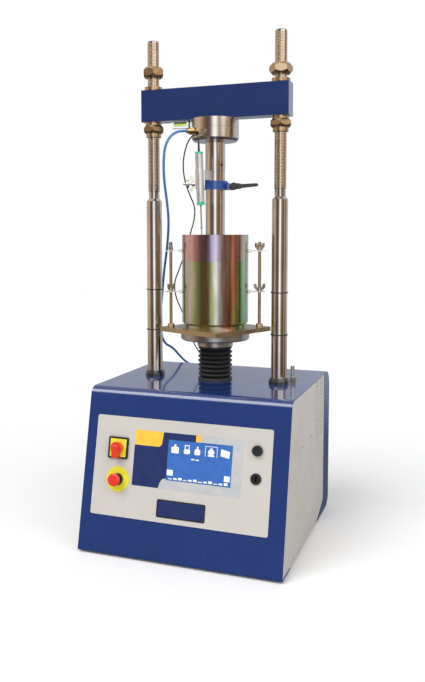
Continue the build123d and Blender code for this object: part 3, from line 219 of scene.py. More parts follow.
def metal(name, colour, roughness, stretch=(1, 1, 1), lines=400, lineDepth=0.00002, variation=0.12):
    material, tree, shader = newMaterial(name)
    shader.inputs["Metallic"].default_value = 1.0
    vector = coordinates(tree, stretch)
    clouds = noise(tree, coordinates(tree), 14, 4)
    tint = ramp(tree, clouds, [(0.3, shade(colour, 1 - variation)), (0.7, shade(colour, 1 + variation))])
    tree.links.new(tint, shader.inputs["Base Color"])
    grain = noise(tree, vector, lines, 3, 0.6)
    tree.links.new(remap(tree, grain, 0.3, 0.7, roughness * 0.8, roughness * 1.3), shader.inputs["Roughness"])
    bump(tree, shader, grain, lineDepth, 0.5)
    return material


def plated(name, stops, roughness, scale):
    material, tree, shader = newMaterial(name)
    shader.inputs["Metallic"].default_value = 1.0
    streaks = noise(tree, coordinates(tree), scale, 4, 0.55, 0.4)
    tree.links.new(ramp(tree, streaks, stops), shader.inputs["Base Color"])
    fine = noise(tree, coordinates(tree, (1, 1, 0.03)), 700, 2)
    tree.links.new(remap(tree, fine, 0.3, 0.7, roughness * 0.8, roughness * 1.3), shader.inputs["Roughness"])
    bump(tree, shader, fine, 0.00002, 0.4)
    return material


def iridescent(name, centre, stops, roughness, drift):
    material, tree, shader = newMaterial(name)
    shader.inputs["Metallic"].default_value = 1.0
    source = tree.nodes.new("ShaderNodeTexCoord")
    centred = tree.nodes.new("ShaderNodeMapping")
    centred.inputs["Location"].default_value = (-centre.x, -centre.y, 0)
    tree.links.new(source.outputs["Object"], centred.inputs["Vector"])
    around = tree.nodes.new("ShaderNodeTexGradient")
    around.gradient_type = "RADIAL"
    tree.links.new(centred.outputs["Vector"], around.inputs["Vector"])
    wander = noise(tree, coordinates(tree, (1, 1, 0.25)), 16, 3, 0.55, 0.6)
    shifted = tree.nodes.new("ShaderNodeMath")
    shifted.operation = "ADD"
    tree.links.new(around.outputs["Fac"], shifted.inputs[0])
    tree.links.new(remap(tree, wander, 0.25, 0.75, -drift, drift), shifted.inputs[1])
    tint = ramp(tree, shifted.outputs["Value"], stops)
    streaks = noise(tree, coordinates(tree, (1, 1, 0.04)), 190, 3, 0.6)
    tone = ramp(tree, streaks, [(0.3, (0.55, 0.55, 0.55)), (0.7, (1.25, 1.25, 1.25))])
    mixed = tree.nodes.new("ShaderNodeMix")
    mixed.data_type = "RGBA"
    mixed.blend_type = "MULTIPLY"
    mixed.inputs["Factor"].default_value = 0.7
    tree.links.new(tint, mixed.inputs["A"])
    tree.links.new(tone, mixed.inputs["B"])
    tree.links.new(mixed.outputs["Result"], shader.inputs["Base Color"])
    tree.links.new(remap(tree, streaks, 0.3, 0.7, roughness * 0.8, roughness * 1.3), shader.inputs["Roughness"])
    bump(tree, shader, streaks, 0.00002, 0.4)
    return material


def plastic(name, colour, roughness, grain=900, grainDepth=0.00003, coat=0.0):
    material, tree, shader = newMaterial(name)
    vector = coordinates(tree)
    speckle = noise(tree, vector, 60, 3)
    tint = ramp(tree, speckle, [(0.3, shade(colour, 0.93)), (0.7, shade(colour, 1.07))])
    tree.links.new(tint, shader.inputs["Base Color"])
    tree.links.new(remap(tree, speckle, 0.3, 0.7, roughness * 0.85, roughness * 1.15), shader.inputs["Roughness"])
    shader.inputs["Coat Weight"].default_value = coat
    bump(tree, shader, noise(tree, vector, grain, 2), grainDepth, 0.4)
    return material


def clearPlastic(name, colour, roughness, ior):
    material, tree, shader = newMaterial(name)
    shader.inputs["Transmission Weight"].default_value = 1.0
    shader.inputs["IOR"].default_value = ior
    vector = coordinates(tree)
    tint = ramp(tree, noise(tree, vector, 30, 2), [(0.3, shade(colour, 0.96)), (0.7, colour)])
    tree.links.new(tint, shader.inputs["Base Color"])
    tree.links.new(remap(tree, noise(tree, vector, 80, 2), 0.3, 0.7, roughness * 0.7, roughness * 1.3),
                   shader.inputs["Roughness"])
    return material


# Colours of the zinc film round the mould, from one side of the seam to the other
filmBody = [
    (0.00, (0.42, 0.52, 0.30)), (0.07, (0.60, 0.45, 0.42)), (0.13, (0.34, 0.50, 0.24)), (0.17, (0.60, 0.52, 0.56)),
    (0.21, (0.34, 0.50, 0.24)), (0.25, (0.52, 0.40, 0.16)), (0.29, (0.34, 0.36, 0.20)), (0.33, (0.56, 0.55, 0.55)),
    (0.36, (0.62, 0.40, 0.38)), (0.39, (0.55, 0.26, 0.18)), (0.42, (0.42, 0.42, 0.16)), (0.45, (0.22, 0.40, 0.20)),
    (0.49, (0.40, 0.62, 0.40)), (0.56, (0.60, 0.42, 0.44)), (0.66, (0.52, 0.44, 0.18)), (0.76, (0.36, 0.54, 0.30)),
    (0.88, (0.60, 0.36, 0.34)), (1.00, (0.42, 0.52, 0.30)),
]
filmCollar = [
    (0.00, (0.50, 0.46, 0.34)), (0.08, (0.62, 0.44, 0.40)), (0.15, (0.70, 0.46, 0.46)), (0.20, (0.56, 0.34, 0.38)),
    (0.25, (0.44, 0.30, 0.40)), (0.30, (0.40, 0.36, 0.48)), (0.35, (0.58, 0.42, 0.44)), (0.39, (0.56, 0.26, 0.22)),
    (0.43, (0.56, 0.34, 0.34)), (0.47, (0.54, 0.52, 0.34)), (0.52, (0.42, 0.52, 0.34)), (0.64, (0.60, 0.42, 0.42)),
    (0.78, (0.44, 0.36, 0.46)), (0.90, (0.60, 0.46, 0.30)), (1.00, (0.50, 0.46, 0.34)),
]
zincPale = [(0.25, (0.62, 0.58, 0.48)), (0.5, (0.72, 0.70, 0.64)), (0.75, (0.58, 0.60, 0.52))]
zincBronze = [(0.25, (0.36, 0.22, 0.12)), (0.5, (0.56, 0.40, 0.24)), (0.75, (0.42, 0.36, 0.24))]
zincPlate = [(0.3, (0.44, 0.36, 0.24)), (0.5, (0.55, 0.44, 0.28)), (0.7, (0.42, 0.36, 0.30))]

recipes = [
    (paint, {
        "cabinetBlue": dict(colour=(0.0085, 0.034, 0.165), roughness=0.22, coat=1.0, grain=420),
        "beamBlue": dict(colour=(0.0085, 0.030, 0.135), roughness=0.22, coat=1.0, grain=420),
        "panelBeige": dict(colour=(0.57, 0.545, 0.505), roughness=0.42, grain=1500, grainDepth=0.00004,
                           variation=0.03),
        "sideBeige": dict(colour=(0.56, 0.53, 0.50), roughness=0.42, grain=1500, grainDepth=0.00004,
                          variation=0.03),
        "ringBlue": dict(colour=(0.02, 0.075, 0.30), roughness=0.25, coat=0.8, grain=700),
        "blackEnamel": dict(colour=(0.022, 0.022, 0.025), roughness=0.28, coat=0.6, grain=600),
    }),
    (metal, {
        "polishedSteel": dict(colour=(0.60, 0.555, 0.51), roughness=0.12, stretch=(1, 1, 6), lines=260),
        "cellSteel": dict(colour=(0.63, 0.575, 0.52), roughness=0.16, stretch=(1, 1, 8), lines=260),
        "satinSteel": dict(colour=(0.50, 0.49, 0.47), roughness=0.33, stretch=(1, 1, 3), lines=320),
        "aluminium": dict(colour=(0.82, 0.84, 0.85), roughness=0.42, stretch=(1, 1, 0.1), lines=500),
        "brass": dict(colour=(0.72, 0.53, 0.22), roughness=0.25),
        "castIron": dict(colour=(0.16, 0.16, 0.17), roughness=0.6, lines=120, lineDepth=0.0002),
    }),
    (plated, {
        "paleZinc": dict(stops=zincPale, roughness=0.3, scale=40),
        "bronzeZinc": dict(stops=zincBronze, roughness=0.28, scale=30),
        "plateZinc": dict(stops=zincPlate, roughness=0.3, scale=12),
    }),
    (iridescent, {
        "bodyZinc": dict(centre=loadAxis, stops=filmBody, roughness=0.16, drift=0.035),
        "collarZinc": dict(centre=loadAxis, stops=filmCollar, roughness=0.16, drift=0.035),
    }),
    (plastic, {
        "blackRubber": dict(colour=(0.018, 0.018, 0.02), roughness=0.5, grain=700, grainDepth=0.00006),
        "blackPlastic": dict(colour=(0.018, 0.018, 0.02), roughness=0.35),
        "redPlastic": dict(colour=(0.75, 0.035, 0.022), roughness=0.28, coat=0.4),
        "yellowPlate": dict(colour=(0.80, 0.74, 0.035), roughness=0.35, coat=0.3),
        "labelYellow": dict(colour=(0.95, 0.55, 0.05), roughness=0.38),
        "labelNavy": dict(colour=(0.013, 0.028, 0.125), roughness=0.35),
        "labelGrey": dict(colour=(0.50, 0.51, 0.52), roughness=0.4),
        "screenBlue": dict(colour=(0.045, 0.155, 0.50), roughness=0.2, coat=0.6),
        "iconWhite": dict(colour=(0.90, 0.92, 0.95), roughness=0.4),
        "greenPlastic": dict(colour=(0.07, 0.50, 0.33), roughness=0.32, coat=0.3),
        "blueCable": dict(colour=(0.075, 0.22, 0.50), roughness=0.38),
        "greyCable": dict(colour=(0.03, 0.03, 0.032), roughness=0.42),
    }),
    (clearPlastic, {
        "clearBlock": dict(colour=(0.92, 0.96, 0.95), roughness=0.03, ior=1.47),
        "levelFluid": dict(colour=(0.72, 0.85, 0.12), roughness=0.02, ior=1.33),
    }),
]
finishes = {}
for makeFinish, family in recipes:
    for finishName, values in family.items():
        finishes[finishName] = makeFinish(finishName, **values)

nodeFinishes = {
    "base_tray": "paleZinc", "rubber_feet": "blackRubber", "front_cover": "cabinetBlue",
    "rear_cover": "cabinetBlue", "side_panels": "sideBeige", "control_panel": "panelBeige",
    "touch_screen": "screenBlue", "main_switch_frame": "blackPlastic", "main_switch_handle": "redPlastic",
    "estop_plate": "yellowPlate", "estop_body": "blackPlastic", "estop_stem": "blackPlastic",
    "estop_head": "redPlastic", "upper_socket": "blackPlastic", "lower_socket": "blackPlastic",
    "rear_sockets": "blackPlastic", "mains_inlet": "blackPlastic", "lower_platform": "satinSteel",
    "drive_unit": "castIron", "columns": "polishedSteel", "column_rings": "blackRubber",
    "column_foot_rings": "blackEnamel", "column_nuts": "bronzeZinc", "crosshead": "beamBlue",
    "upper_washers": "bronzeZinc", "beam_nuts": "bronzeZinc", "load_cell_cap": "cellSteel",
    "load_cell_body": "cellSteel", "cable_gland": "brass", "spirit_level_block": "clearBlock",
    "spirit_level_vial": "levelFluid", "piston_adapter": "polishedSteel", "piston": "polishedSteel",
    "clamp_ring": "ringBlue", "clamp_lever": "blackPlastic", "transducer_bracket": "aluminium",
    "bracket_stud": "paleZinc", "bracket_wing_nut": "paleZinc", "transducer_tube": "aluminium",
    "transducer_caps": "greenPlastic", "transducer_relief": "blackRubber", "spindle": "satinSteel",
    "ram": "polishedSteel", "bellows": "blackRubber", "bellows_holder": "satinSteel", "platen": "satinSteel",
    "mould_base": "plateZinc", "mould_body": "bodyZinc", "mould_collar": "collarZinc",
    "mould_studs": "bronzeZinc", "mould_lugs": "paleZinc", "stop_post": "paleZinc",
    "cable_plugs": "blackPlastic", "load_cell_cable": "blueCable", "transducer_cable": "greyCable",
    "wing_nut_low_left": "paleZinc", "wing_nut_low_right": "paleZinc",
    "wing_nut_high_left": "paleZinc", "wing_nut_high_right": "paleZinc",
}
for nodeName, finishName in nodeFinishes.items():
    nodes[nodeName].data.materials.clear()
    nodes[nodeName].data.materials.append(finishes[finishName])
print("finishes on", len(nodeFinishes), "nodes")


# The leaning front: x to the right, y up the slope, z out of it
switchJoint = joints["main_switch_turn"]
frontOut = Vector(switchJoint["axis"]).normalized()
frontRight = Vector((1, 0, 0))
frontUp = frontOut.cross(frontRight)
panel = {
    "switchX": -0.1655, "switchS": 0.2515, "switchOut": 0.007,
    "plate": 0.002,
    "overlayLeft": -0.124, "overlayRight": 0.1465, "overlayLow": 0.168, "overlayHigh": 0.298,
    "overlayT": 0.0004, "tabLeft": -0.050, "tabTop": 0.192, "tabSlant": 0.006,
    "yellowRight": -0.054, "yellowLow": 0.263, "yellowCorner": 0.006, "yellowSlant": 0.003,
    "chipLeft": 0.031, "chipRight": 0.043,
    "screenLeft": -0.038, "screenRight": 0.122, "screenLow": 0.1885, "screenHigh": 0.2825,
}
frontOrigin = (Vector(switchJoint["pos_m"]) - frontRight * panel["switchX"]
               - frontUp * panel["switchS"] - frontOut * panel["switchOut"])
frontMatrix = Matrix((frontRight, frontUp, frontOut)).transposed().to_4x4()
frontMatrix.translation = frontOrigin


def onFront(x, s, out=0.0):
    return frontMatrix @ Matrix.Translation((x, s, out))


def frontPiece(name, slabs, body, material, bevelWidth=0.0):
    bm = bmesh.new()
    for outline, out, thickness in slabs:
        addSlab(bm, outline, thickness, onFront(0, 0, out), bevelWidth)
    return finishPiece(name, bm, body, finishes[material])


def box2d(left, right, low, high):
    return [(left, low), (right, low), (right, high), (left, high)]


film = panel["plate"]
overlayLeft, overlayRight = panel["overlayLeft"], panel["overlayRight"]
overlayLow, overlayHigh = panel["overlayLow"], panel["overlayHigh"]
screenLeft, screenRight = panel["screenLeft"], panel["screenRight"]
screenLow, screenHigh = panel["screenLow"], panel["screenHigh"]
tabLeft, tabTop, slant = panel["tabLeft"], panel["tabTop"], panel["tabSlant"]
tabEdge = [(tabLeft - slant, overlayLow), (tabLeft - slant / 3, tabTop - slant * 5 / 3),
           (tabLeft + slant * 2 / 3, tabTop - slant / 3)]
yellowRight, yellowLow, corner = panel["yellowRight"], panel["yellowLow"], panel["yellowCorner"]
yellowEdge = [(yellowRight - corner, yellowLow), (yellowRight, yellowLow + corner),
              (yellowRight + panel["yellowSlant"], overlayHigh)]


def addField(name, outlines, material):
    frontPiece(name, [(outline, film, panel["overlayT"]) for outline in outlines], "frame", material)


addField("navyField", [
    [(overlayLeft, overlayLow), *tabEdge, (screenLeft, tabTop), (screenLeft, screenHigh), (screenLeft, overlayHigh),
     *reversed(yellowEdge), (overlayLeft, yellowLow)],
    box2d(screenLeft, panel["chipLeft"], screenHigh, overlayHigh),
], "labelNavy")
addField("greyField", [
    [tabEdge[0], (overlayRight, overlayLow), (overlayRight, screenLow), (screenLeft, screenLow),
     (screenLeft, tabTop), tabEdge[2], tabEdge[1]],
    box2d(screenRight, overlayRight, screenLow, overlayHigh),
    box2d(panel["chipRight"], screenRight, screenHigh, overlayHigh),
], "labelGrey")
addField("yellowLabel", [[(overlayLeft, yellowLow), *yellowEdge, (overlayLeft, overlayHigh)]], "labelYellow")
addField("yellowChip", [box2d(panel["chipLeft"], panel["chipRight"], screenHigh, overlayHigh)], "labelYellow")

barePlate = {
    "place": (0.005, 0.123), "width": 0.121, "height": 0.041, "corner": 0.004, "thickness": 0.0015,
    "bevel": 0.0005, "margin": 0.0035, "fieldCorner": 0.003, "fieldT": 0.0003,
}
plateOutline = roundedOutline(barePlate["width"], barePlate["height"], barePlate["corner"], barePlate["place"])
frontPiece("barePlate", [(plateOutline, film, barePlate["thickness"])], "frame", "blackPlastic", barePlate["bevel"])
border = 2 * barePlate["margin"]
fieldOutline = roundedOutline(barePlate["width"] - border, barePlate["height"] - border, barePlate["fieldCorner"],
                              barePlate["place"])
frontPiece("barePlateField", [(fieldOutline, film + barePlate["thickness"], barePlate["fieldT"])], "frame",
           "labelNavy")
print("panel fields and bare plate")

# Screen art: plain symbols on the display. A block is width, height, corner and offset from the symbol's centre,
# a bar is left, right, low and high from there
screen = {
    "row": 0.2625, "lift": 0.0003, "glassSink": 0.0006,
    "weight": {"x": -0.020, "blocks": [(0.019, 0.015, 0.003, -0.003)], "bars": [(-0.0025, 0.0025, 0.0045, 0.010)]},
    "scale": {"x": 0.010, "blocks": [(0.016, 0.011, 0.004, -0.004)],
              "bars": [(-0.006, -0.004, 0.001, 0.009), (0.004, 0.006, 0.001, 0.009), (-0.006, 0.006, 0.009, 0.011)]},
    "flask": {"x": 0.036, "blocks": [(0.014, 0.013, 0.003, -0.003)], "bars": [(-0.002, 0.002, 0.0035, 0.010)]},
    "stack": {"x": 0.070, "layers": ((0.016, -0.008), (0.012, -0.004), (0.016, 0.0), (0.012, 0.004), (0.005, 0.008)),
              "layerT": 0.0036, "bars": [(-0.0151, -0.0139, -0.011, 0.013), (0.0139, 0.0151, -0.011, 0.013),
                                         (-0.0145, 0.0145, 0.0122, 0.0134)]},
    "page": {"x": 0.104, "outline": [(-0.011, -0.006), (0.010, -0.010), (0.012, 0.005), (-0.010, 0.010)]},
    "marks": [(0.022, 0.030, 0.2405, 0.2435), (0.033, 0.041, 0.2400, 0.2430)],
    "keys": [(0.015, 0.013, (-0.029, 0.2065)), (0.014, 0.013, (0.112, 0.2065))], "keyCorner": 0.001,
    "bars": {"count": 12, "left": -0.032, "pitch": 0.0125, "width": 0.009, "low": 0.1915, "height": 0.002,
             "step": 0.0018},
}
row = screen["row"]
symbols = []
for symbolName in ("weight", "scale", "flask", "stack", "page"):
    values = screen[symbolName]
    x = values["x"]
    for width, height, rounding, rise in values.get("blocks", []):
        symbols.append(roundedOutline(width, height, rounding, (x, row + rise)))
    for width, rise in values.get("layers", []):
        half = values["layerT"] / 2
        symbols.append(box2d(x - width / 2, x + width / 2, row + rise - half, row + rise + half))
    for left, right, low, high in values.get("bars", []):
        symbols.append(box2d(x + left, x + right, row + low, row + high))
    if "outline" in values:
        symbols.append([(x + dx, row + rise) for dx, rise in values["outline"]])
symbols += [box2d(*mark) for mark in screen["marks"]]
symbols += [roundedOutline(width, height, screen["keyCorner"], place) for width, height, place in screen["keys"]]
bars = screen["bars"]
for number in range(bars["count"]):
    left = bars["left"] + bars["pitch"] * number
    symbols.append(box2d(left, left + bars["width"], bars["low"],
                         bars["low"] + bars["height"] + bars["step"] * (number % 3)))
symbolOut = film - screen["glassSink"]
frontPiece("screenSymbols", [(outline, symbolOut, screen["lift"]) for outline in symbols], "frame", "iconWhite")
print("screen symbols", len(symbols))

# Yellow plate inside the black switch frame
switch = {"side": 0.0425, "corner": 0.001, "lift": 0.0038, "thickness": 0.0009}
switchOutline = roundedOutline(switch["side"], switch["side"], switch["corner"], (panel["switchX"], panel["switchS"]))
frontPiece("switchPlate", [(switchOutline, film + switch["lift"], switch["thickness"])], "frame", "yellowPlate")

# Screws that hold the side panels
screws = {"radius": 0.004, "capRadius": 0.0032, "height": 0.0009, "socket": 0.0018, "socketDepth": 0.00054,
          "places": ((0.034, 0.257), (-0.070, 0.257), (-0.152, 0.0165), (0.092, 0.0165))}


def addScrew(bm, place, values):
    part = bmesh.new()
    bmesh.ops.create_cone(part, cap_ends=True, segments=20, radius1=values["radius"], radius2=values["capRadius"],
                          depth=values["height"])
    bmesh.ops.translate(part, verts=part.verts, vec=(0, 0, values["height"] / 2))
    capFace = max(part.faces, key=lambda face: face.calc_center_median().z)
    bmesh.ops.inset_region(part, faces=[capFace], thickness=values["capRadius"] - values["socket"], depth=0)
    bmesh.ops.translate(part, verts=capFace.verts, vec=(0, 0, -values["socketDepth"]))
    joinInto(bm, part, place)


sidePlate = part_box("side_panels")
bm = bmesh.new()
for side in (-1, 1):
    turn = Matrix.Rotation(math.radians(90 * side), 4, "Y")
    for y, z in screws["places"]:
        addScrew(bm, Matrix.Translation((side * sidePlate[1].x, y, z)) @ turn, screws)
finishPiece("sideScrews", bm, "frame", finishes["paleZinc"])
print("screws")

# Helical thread on the upper part of each column
thread = {"pitch": 0.0035, "root": 0.0146, "crest": 0.0151, "rise": 0.38, "land": 0.12, "fall": 0.88,
          "rodX": 0.1705, "start": 0.876, "end": 1.2565, "steps": 20}


def addThread(bm, centre, values):
    part = bmesh.new()
    pitch = values["pitch"]
    profile = [(values["root"], 0), (values["crest"], pitch * values["rise"]),
               (values["crest"], pitch * (values["rise"] + values["land"])), (values["root"], pitch * values["fall"])]
    verts = [part.verts.new((r, 0, z)) for r, z in profile]
    edges = [part.edges.new(pair) for pair in zip(verts, verts[1:])]
    turns = int((values["end"] - values["start"]) / pitch) - 1
    bmesh.ops.spin(part, geom=verts + edges, cent=(0, 0, 0), axis=(0, 0, 1), dvec=(0, 0, pitch / values["steps"]),
                   angle=math.tau * turns, steps=turns * values["steps"], use_merge=False, use_duplicate=False)
    joinInto(bm, part, Matrix.Translation(centre + Vector((0, 0, values["start"]))))


for side, word in ((-1, "left"), (1, "right")):
    bm = bmesh.new()
    addThread(bm, Vector((side * thread["rodX"], loadAxis.y, 0)), thread)
    finishPiece("rodThread_" + word, bm, "frame", finishes["bronzeZinc"], 60)
print("rod threads")

# Bellows with rounded folds, stretched between the cabinet and its holder
bellows = {"folds": 7, "root": 0.0375, "crest": 0.0443, "bore": 0.0345, "pointsPerFold": 10, "roundness": 0.6,
           "cuff": 0.003, "lowCuff": 0.0445, "highCuff": 0.0423}
bellowsLow = bottom("bellows")
bellowsHigh = top("bellows")
foldLow = bellowsLow + bellows["cuff"]
foldHigh = bellowsHigh - bellows["cuff"]
profile = [(bellows["bore"], bellowsLow), (bellows["lowCuff"], bellowsLow), (bellows["lowCuff"], foldLow)]
count = bellows["folds"] * bellows["pointsPerFold"]
for i in range(1, count):
    wave = 0.5 + 0.5 * math.cos(math.tau * i / bellows["pointsPerFold"])
    r = bellows["root"] + (bellows["crest"] - bellows["root"]) * wave ** bellows["roundness"]
    profile.append((r, foldLow + (foldHigh - foldLow) * i / count))
profile += [(bellows["highCuff"], foldHigh), (bellows["highCuff"], bellowsHigh), (bellows["bore"], bellowsHigh),
            (bellows["bore"], bellowsLow)]
bm = bmesh.new()
addTurned(bm, profile, loadAxis, 64)
bellowsPiece = finishPiece("bellowsSkin", bm, None, finishes["blackRubber"], 50)
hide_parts("bellows")
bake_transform(bellowsPiece)
print("bellows")

# Cables, with the same points as the solids
cellCable = {
    "diameter": 0.0065, "glandTurn": 230.4, "glandStart": 0.076, "glandNext": 0.100, "glandZ": 1.019,
    "plug": (-0.129, 0.272), "plugY": 0.285, "plugNext": 0.027,
    "route": [
        (-79, -99, 1007), (-93, -107, 980), (-102, -96, 938), (-111, -70, 893), (-121, -31, 850),
        (-135, 15, 795), (-153, 43, 724), (-168, 56, 664), (-180, 71, 600), (-195, 92, 545),
        (-208, 122, 495), (-213, 155, 450), (-198, 186, 434), (-187, 216, 404), (-185, 252, 383),
        (-176, 290, 364), (-162, 316, 336), (-148, 322, 310), (-136, 312, 286),
    ],
}
signalCable = {
    "diameter": 0.0034, "reliefNext": 0.022, "plug": (-0.055, 0.277), "plugY": 0.271, "plugNext": 0.018,
    "blendFrom": 0.020, "blendTo": -0.070,
    "route": [
        (-40, -63, 1006), (-59, -44, 992), (-74, -30, 964), (-81, -19, 933), (-80, -8, 898),
        (-73, 8, 865), (-68, 33, 835), (-79, 57, 803), (-93, 62, 766), (-106, 66, 724),
        (-125, 67, 675), (-145, 70, 631), (-144, 82, 589), (-131, 97, 550), (-119, 108, 509),
        (-113, 121, 474), (-106, 138, 444), (-95, 163, 416), (-89, 190, 400), (-86, 232, 397),
        (-80, 266, 382), (-72, 294, 356), (-64, 306, 328), (-59, 303, 303), (-56, 291, 285),
    ],
}


def besideAxis(route):  # route in millimetres from the load axis
    return [Vector((x / 1000, loadAxis.y + y / 1000, z / 1000)) for x, y, z in route]


def smoothLine(name, points):
    data = bpy.data.curves.new(name, "CURVE")
    data.dimensions = "3D"
    spline = data.splines.new("NURBS")
    spline.points.add(len(points) - 1)
    for place, point in zip(spline.points, points):
        place.co = (*point, 1)
    spline.order_u = 3
    spline.use_endpoint_u = True
    spline.resolution_u = 12
    curve = bpy.data.objects.new(name, data)
    bpy.context.scene.collection.objects.link(curve)
    return curve


def lineLength(points):
    return sum((b - a).length for a, b in zip(points, points[1:]))


def linePoints(curve):
    bpy.context.view_layer.update()
    sampled = bpy.data.meshes.new_from_object(curve)
    points = [v.co.copy() for v in sampled.vertices]
    bpy.data.meshes.remove(sampled)
    return points


def cableTube(name, points, radius, material):
    curve = smoothLine(name + "Line", points)
    line = linePoints(curve)
    curve.data.bevel_depth = radius
    curve.data.bevel_resolution = 6
    curve.data.use_fill_caps = True
    mesh = bpy.data.meshes.new_from_object(curve)
    bpy.data.objects.remove(curve)
    mesh.name = name
    mesh.materials.clear()
    mesh.materials.append(material)
    mesh.polygons.foreach_set("use_smooth", [True] * len(mesh.polygons))
    tube = bpy.data.objects.new(name, mesh)
    bpy.context.scene.collection.objects.link(tube)
    return tube, line


def plugEnd(cable):
    x, z = cable["plug"]
    return [Vector((x, cable["plugY"] + cable["plugNext"], z)), Vector((x, cable["plugY"], z))]


glandTurn = math.radians(cellCable["glandTurn"])
glandDirection = Vector((math.cos(glandTurn), math.sin(glandTurn), 0))
glandAxis = loadAxis + Vector((0, 0, cellCable["glandZ"]))
cellStart = glandAxis + glandDirection * cellCable["glandStart"]
cellPoints = [cellStart, glandAxis + glandDirection * cellCable["glandNext"]]
cellPoints += besideAxis(cellCable["route"]) + plugEnd(cellCable)
cellTube, cellLine = cableTube("loadCellCable", cellPoints, cellCable["diameter"] / 2, finishes["blueCable"])
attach(cellTube, "frame")
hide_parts("load_cell_cable")
print("load cell cable", round(lineLength(cellLine), 3))

spindleAxis = Vector(joints["spindle_slide"]["axis"]).normalized()
reliefPoints = [v.co for v in nodes["transducer_relief"].data.vertices]
reliefReach = max(point.dot(spindleAxis) for point in reliefPoints)
reliefRim = [point for point in reliefPoints if point.dot(spindleAxis) > reliefReach - 1e-4]
reliefTop = sum((Vector(map(pick, zip(*reliefRim))) for pick in (min, max)), Vector()) / 2
signalPoints = [reliefTop, reliefTop + spindleAxis * signalCable["reliefNext"]]
signalPoints += besideAxis(signalCable["route"]) + plugEnd(signalCable)
signalTube, signalLine = cableTube("transducerCable", signalPoints, signalCable["diameter"] / 2,
                                   finishes["greyCable"])
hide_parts("transducer_cable")
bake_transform(signalTube)
print("transducer cable", round(lineLength(signalLine), 3))


# Floor, camera, lamps and background
view = {
    "place": (0.6380, -1.7772, 0.7629), "forward": (-0.3370, 0.9378, -0.0831),
    "lens": 39.09, "sensor": 36.0, "shiftY": -0.0656,
}
cameraData = bpy.data.cameras.new("camera")
cameraData.lens = view["lens"]
cameraData.sensor_width = view["sensor"]
cameraData.shift_y = view["shiftY"]
camera = bpy.data.objects.new("camera", cameraData)
camera.location = view["place"]
camera.rotation_mode = "QUATERNION"
camera.rotation_quaternion = Vector(view["forward"]).to_track_quat("-Z", "Y")
bpy.context.scene.collection.objects.link(camera)
bpy.context.scene.camera = camera

room = {
    "floorSize": 14.0, "floorColour": (0.90, 0.90, 0.90), "floorRoughness": 0.9, "floorGlow": 0.03,
    "skyStrength": 0.48,
    "key": {"aim": (0.45, 0.70, -1.10), "strength": 1.6, "spread": 35},
    "fill": {"aim": (-0.85, 0.50, -0.75), "strength": 1.2, "spread": 60},
    "viewTurn": 70.4, "mirrorStrength": 1.7, "mirrorFloor": 0.18, "mirrorLow": -0.26, "mirrorHigh": -0.10,
}
bm = bmesh.new()
bmesh.ops.create_grid(bm, x_segments=1, y_segments=1, size=room["floorSize"] / 2)
floorMaterial, tree, shader = newMaterial("floorWhite")
shader.inputs["Base Color"].default_value = (*room["floorColour"], 1)
shader.inputs["Roughness"].default_value = room["floorRoughness"]
floorRays = tree.nodes.new("ShaderNodeLightPath")
floorGlow = tree.nodes.new("ShaderNodeEmission")
floorGlow.inputs["Strength"].default_value = room["floorGlow"]
paper = tree.nodes.new("ShaderNodeAddShader")
tree.links.new(shader.outputs["BSDF"], paper.inputs[0])
tree.links.new(floorGlow.outputs["Emission"], paper.inputs[1])
seenFloor = tree.nodes.new("ShaderNodeMixShader")
tree.links.new(floorRays.outputs["Is Camera Ray"], seenFloor.inputs["Fac"])
tree.links.new(shader.outputs["BSDF"], seenFloor.inputs[1])
tree.links.new(paper.outputs["Shader"], seenFloor.inputs[2])
openFloor = tree.nodes.new("ShaderNodeBsdfTransparent")
mirrorFloor = tree.nodes.new("ShaderNodeMixShader")
tree.links.new(floorRays.outputs["Is Glossy Ray"], mirrorFloor.inputs["Fac"])
tree.links.new(seenFloor.outputs["Shader"], mirrorFloor.inputs[1])
tree.links.new(openFloor.outputs["BSDF"], mirrorFloor.inputs[2])
floorOutput = next(node for node in tree.nodes if node.type == "OUTPUT_MATERIAL")
tree.links.new(mirrorFloor.outputs["Shader"], floorOutput.inputs["Surface"])
floor = finishPiece("floor", bm, None, floorMaterial)


def addSun(name, values):
    data = bpy.data.lights.new(name, "SUN")
    data.energy = values["strength"]
    data.angle = math.radians(values["spread"])
    lamp = bpy.data.objects.new(name, data)
    lamp.rotation_mode = "QUATERNION"
    lamp.rotation_quaternion = Vector(values["aim"]).to_track_quat("-Z", "Y")
    bpy.context.scene.collection.objects.link(lamp)


addSun("keyLight", room["key"])
addSun("fillLight", room["fill"])

world = bpy.data.worlds.new("studio")
bpy.context.scene.world = world
world.use_nodes = True
sky = world.node_tree
sky.nodes.clear()


def background(strength, colour=(1, 1, 1)):
    node = sky.nodes.new("ShaderNodeBackground")
    node.inputs["Color"].default_value = (*colour, 1)
    node.inputs["Strength"].default_value = strength
    return node


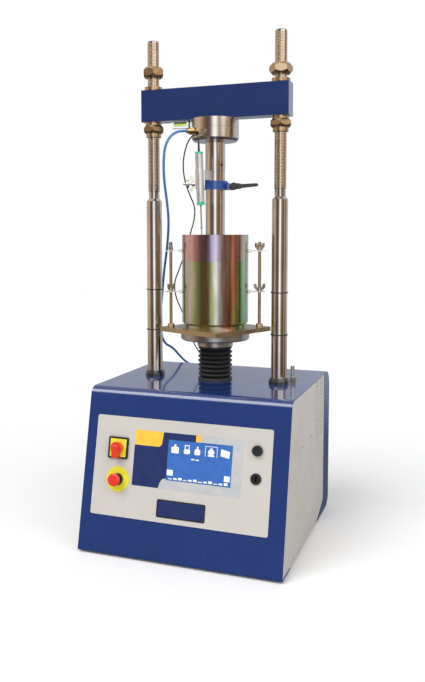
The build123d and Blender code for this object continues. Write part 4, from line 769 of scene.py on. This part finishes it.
# What polished metal mirrors, by degrees from the camera's side: bright strip in front, brown walls, grey back
walls = [
    (-180, (0.25, 0.27, 0.31)), (-150, (0.36, 0.35, 0.35)), (-112, (0.42, 0.36, 0.30)), (-82, (0.50, 0.39, 0.28)),
    (-60, (0.20, 0.14, 0.105)), (-46, (0.085, 0.065, 0.055)), (-30, (0.10, 0.07, 0.055)), (-21, (0.16, 0.13, 0.13)),
    (-14, (0.55, 0.58, 0.66)), (-4, (1.0, 1.0, 1.0)), (4, (0.98, 1.0, 1.0)), (12, (0.36, 0.36, 0.38)),
    (22, (0.24, 0.18, 0.14)), (33, (0.12, 0.085, 0.05)), (55, (0.11, 0.075, 0.04)), (63, (0.48, 0.36, 0.23)),
    (74, (0.18, 0.12, 0.07)), (94, (0.22, 0.165, 0.12)), (106, (0.42, 0.39, 0.39)), (135, (0.40, 0.43, 0.49)),
    (180, (0.25, 0.27, 0.31)),
]
direction = sky.nodes.new("ShaderNodeTexCoord")
turned = sky.nodes.new("ShaderNodeMapping")
turned.inputs["Rotation"].default_value = (0, 0, math.radians(room["viewTurn"]))
sky.links.new(direction.outputs["Generated"], turned.inputs["Vector"])
around = sky.nodes.new("ShaderNodeTexGradient")
around.gradient_type = "RADIAL"
sky.links.new(turned.outputs["Vector"], around.inputs["Vector"])
wallColour = ramp(sky, around.outputs["Fac"], [(0.5 + degrees / 360, colour) for degrees, colour in walls])
height = sky.nodes.new("ShaderNodeSeparateXYZ")
sky.links.new(direction.outputs["Generated"], height.inputs["Vector"])
mirrored = background(room["mirrorStrength"])
sky.links.new(wallColour, mirrored.inputs["Color"])
mirrorLevel = remap(sky, height.outputs["Z"], room["mirrorLow"], room["mirrorHigh"],
                    room["mirrorStrength"] * room["mirrorFloor"], room["mirrorStrength"])
sky.links.new(mirrorLevel, mirrored.inputs["Strength"])

rays = sky.nodes.new("ShaderNodeLightPath")
seenDirect = sky.nodes.new("ShaderNodeMath")
seenDirect.operation = "MAXIMUM"
sky.links.new(rays.outputs["Is Camera Ray"], seenDirect.inputs[0])
sky.links.new(rays.outputs["Is Transmission Ray"], seenDirect.inputs[1])
glossyMix = sky.nodes.new("ShaderNodeMixShader")
sky.links.new(rays.outputs["Is Glossy Ray"], glossyMix.inputs["Fac"])
sky.links.new(background(room["skyStrength"]).outputs["Background"], glossyMix.inputs[1])
sky.links.new(mirrored.outputs["Background"], glossyMix.inputs[2])
skyMix = sky.nodes.new("ShaderNodeMixShader")
sky.links.new(seenDirect.outputs["Value"], skyMix.inputs["Fac"])
sky.links.new(glossyMix.outputs["Shader"], skyMix.inputs[1])
sky.links.new(background(1.0).outputs["Background"], skyMix.inputs[2])
skyOutput = sky.nodes.new("ShaderNodeOutputWorld")
sky.links.new(skyMix.outputs["Shader"], skyOutput.inputs["Surface"])
bpy.context.scene.view_settings.view_transform = "Standard"
print("studio")
